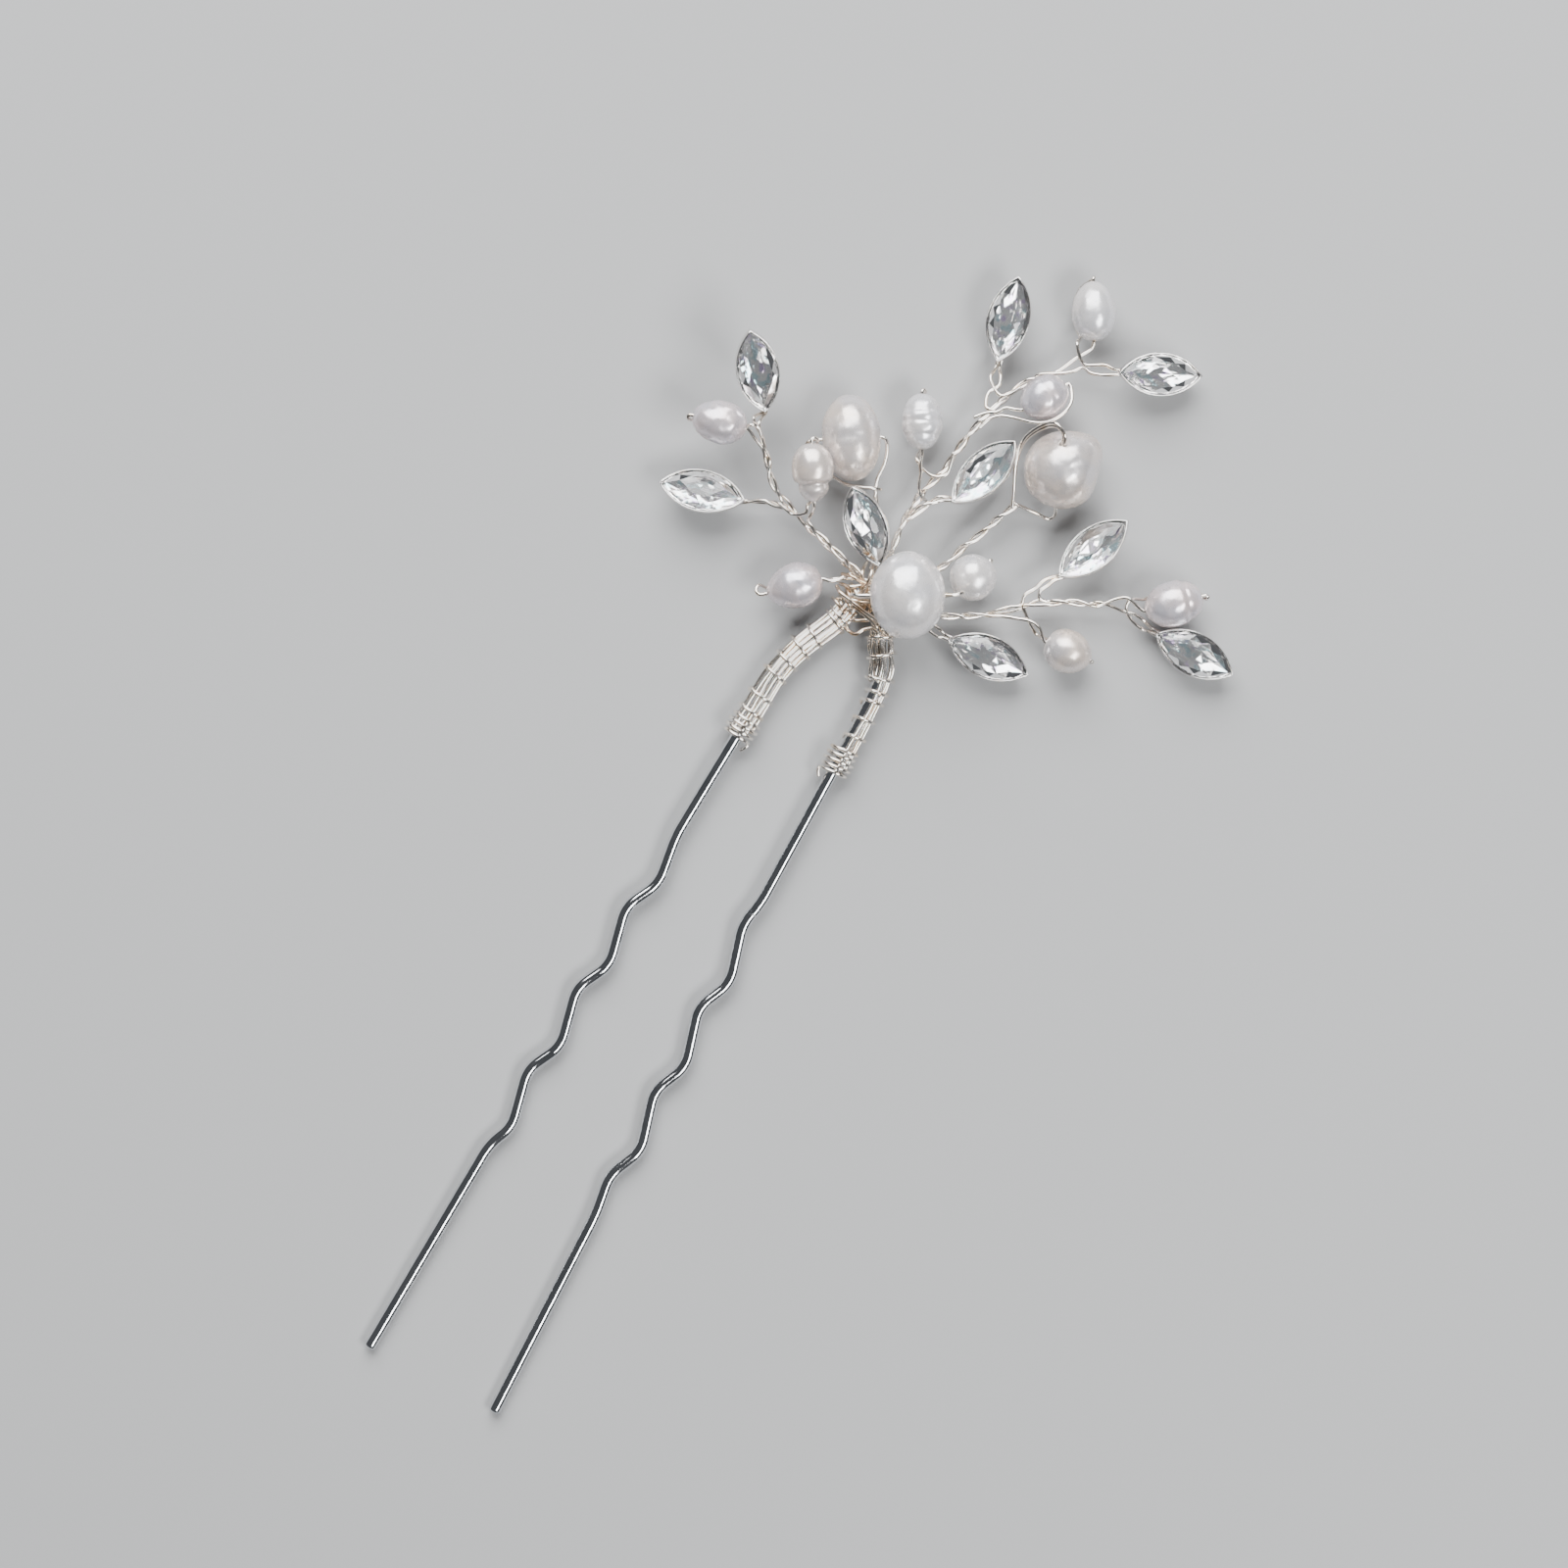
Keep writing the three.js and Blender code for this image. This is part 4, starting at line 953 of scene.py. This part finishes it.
def oval_wires():
    """A twisted stem, and its end hooked round the pearl and through it from right to left."""
    hook = at((-4.6, 26.4, 1.9), (-5.2, 27.9, 2.2), (-5.3, 29.4, 2.5), (-5.7, 30.7, 2.8), (-6.4, 31.6, 2.95))
    under = at((-12.8, 27.4, 2.8), (-11.6, 26.5, 1.9), (-9.7, 26.1, 1.7), (-8.7, 26, 1.8), (-7.5, 26, 2.1),
               (-6.3, 26.4, 2.4), (-5.1, 26.9, 2.4), (-4.4, 27.2, 2))
    yield from twist(at((-1.1, 19.9, 1.2), (-2.3, 22.2, 1.2), (-3.8, 25, 1.5), (-4.8, 26.8, 2)))
    yield smooth([*hook, *through("pearl_oval_large", (0.25, 0.5, 0.85, 1)), *under])


def centre_wires():
    """One wire up beside the pearl, through it from left to right, and down on the other side."""
    up = at((0.4, 17.9, 3.35), (-1, 17, 3.6), (-1.9, 16.6, 5), (-1.8, 16.8, 6.5))
    down = at((7.3, 22.05, 6.5), (7.1, 21.9, 5.4), (6, 21.1, 3.6), (4.3, 19.9, 2.8), (3.2, 19.3, 2.8))
    yield smooth([*up, *through("pearl_centre"), *down])


def short_stems():
    """The leaves that stand at the hub, each on its own doubled wire."""
    yield "wire_round_pearl", [[
        *strand(1.6, 1.9, (2.6, 19.6), (4.2, 20.6), (5.6, 21.3)),
        *pearl_loop("pearl_round_small", nub=0.15),
        *strand(1.7, 1.5, (5.6, 20.9), (4.2, 20.2), (2.7, 19.2)),
    ]]
    yield "wire_left_pearl", [[
        *strand(2.6, 2.9, (-2.8, 18.9), (-3.4, 18.1), (-3.9, 17.4), (-4.5, 17)),
        *pearl_loop("pearl_left_lower", nub=0.9),
        *strand(2.5, 2.3, (-4.2, 17.4), (-3.4, 17.9), (-2.4, 18.4)),
    ]]
    yield "wire_front_crystal", [
        [*strand(2.6, 3, (-0.4, 19.5), (-0.7, 20), (-1, 20.4)), *into("front", 0.2)],
        [*strand(2.6, 3, (-0.8, 19.2), (-1.2, 19.8), (-1.6, 20.2)), *into("front", -0.2)],
    ]
    yield "wire_lower_crystal", [
        [*strand(1.8, 1.7, (4, 17.6), (5.2, 18), (6.4, 18.2), (7.3, 18.1)), *into("lower", -0.2)],
        [*strand(1.7, 1.6, (4.2, 17), (5.3, 17.4), (6.3, 17.5), (7.3, 17.4)), *into("lower", 0.2)],
    ]


def build_stems():
    for node, lines in (
        ("wire_left_branch", map(smooth, left_branch())),
        ("wire_upper_branch", map(smooth, upper_branch())),
        ("wire_right_branch", map(smooth, right_branch())),
        ("wire_baroque_pearl", baroque_wires()),
        ("wire_oval_pearl", oval_wires()),
        ("wire_centre_pearl", centre_wires()),
        *((name, map(smooth, routes)) for name, routes in short_stems()),
    ):
        shell = Shell()
        for line in lines:
            shell.add_wire(line)
        piece(node + "_strands", shell, SILVER, ROOT, [node])


# ---------- the set ----------
VIEW_WIDTH = 0.1524
VIEW_TURN = math.radians(29)
VIEW_CENTRE = at((1.205, -2.272, 0))[0] * MM
LENS = 100
SENSOR = 36


def add_camera():
    data = bpy.data.cameras.new("camera")
    data.lens = LENS
    data.sensor_width = SENSOR
    camera = bpy.data.objects.new("camera", data)
    camera.location = (*VIEW_CENTRE[:2], VIEW_WIDTH * LENS / SENSOR)
    camera.rotation_euler = (0, 0, VIEW_TURN)
    bpy.context.scene.collection.objects.link(camera)
    bpy.context.scene.camera = camera


def add_light(name, towards, height, distance, size, power):
    """A soft panel. "towards" is its compass direction as seen by the camera, in degrees from the right."""
    turn = math.radians(towards) + VIEW_TURN
    rise = math.radians(height)
    level = math.cos(rise)
    place = Vector((math.cos(turn) * level, math.sin(turn) * level, math.sin(rise))) * distance
    data = bpy.data.lights.new(name, "AREA")
    data.shape = "RECTANGLE"
    data.size, data.size_y = size
    data.energy = power
    light = bpy.data.objects.new(name, data)
    light.location = place
    light.rotation_euler = (-place).to_track_quat("-Z", "Y").to_euler()
    bpy.context.scene.collection.objects.link(light)


def add_set():
    bpy.ops.mesh.primitive_plane_add(size=3, location=(0, 0, 0))
    floor = bpy.context.object
    floor.name = "floor"
    floor.data.materials.append(shader("floor", Roughness=0.9, Base_Color=(0.40, 0.405, 0.41, 1))[0])
    add_light("window", 95, 42, 0.6, (0.6, 0.5), 9.5)
    add_light("side_panel", -35, 52, 0.6, (0.35, 0.2), 3.6)
    world = bpy.data.worlds.new("studio")
    world.use_nodes = True
    world.node_tree.nodes["Background"].inputs["Color"].default_value = (0.5, 0.52, 0.55, 1)
    world.node_tree.nodes["Background"].inputs["Strength"].default_value = 0.2
    bpy.context.scene.world = world


build_pin()
build_shoulders()
for subpart in frame["record"]["subparts"]:
    if subpart["node"] in SHAPES:
        build_pearl(subpart["node"], subpart["material_slot"])
    if subpart["node"].startswith("crystal_"):
        build_crystal(subpart["node"].removeprefix("crystal_"))
build_stems()
add_camera()
add_set()
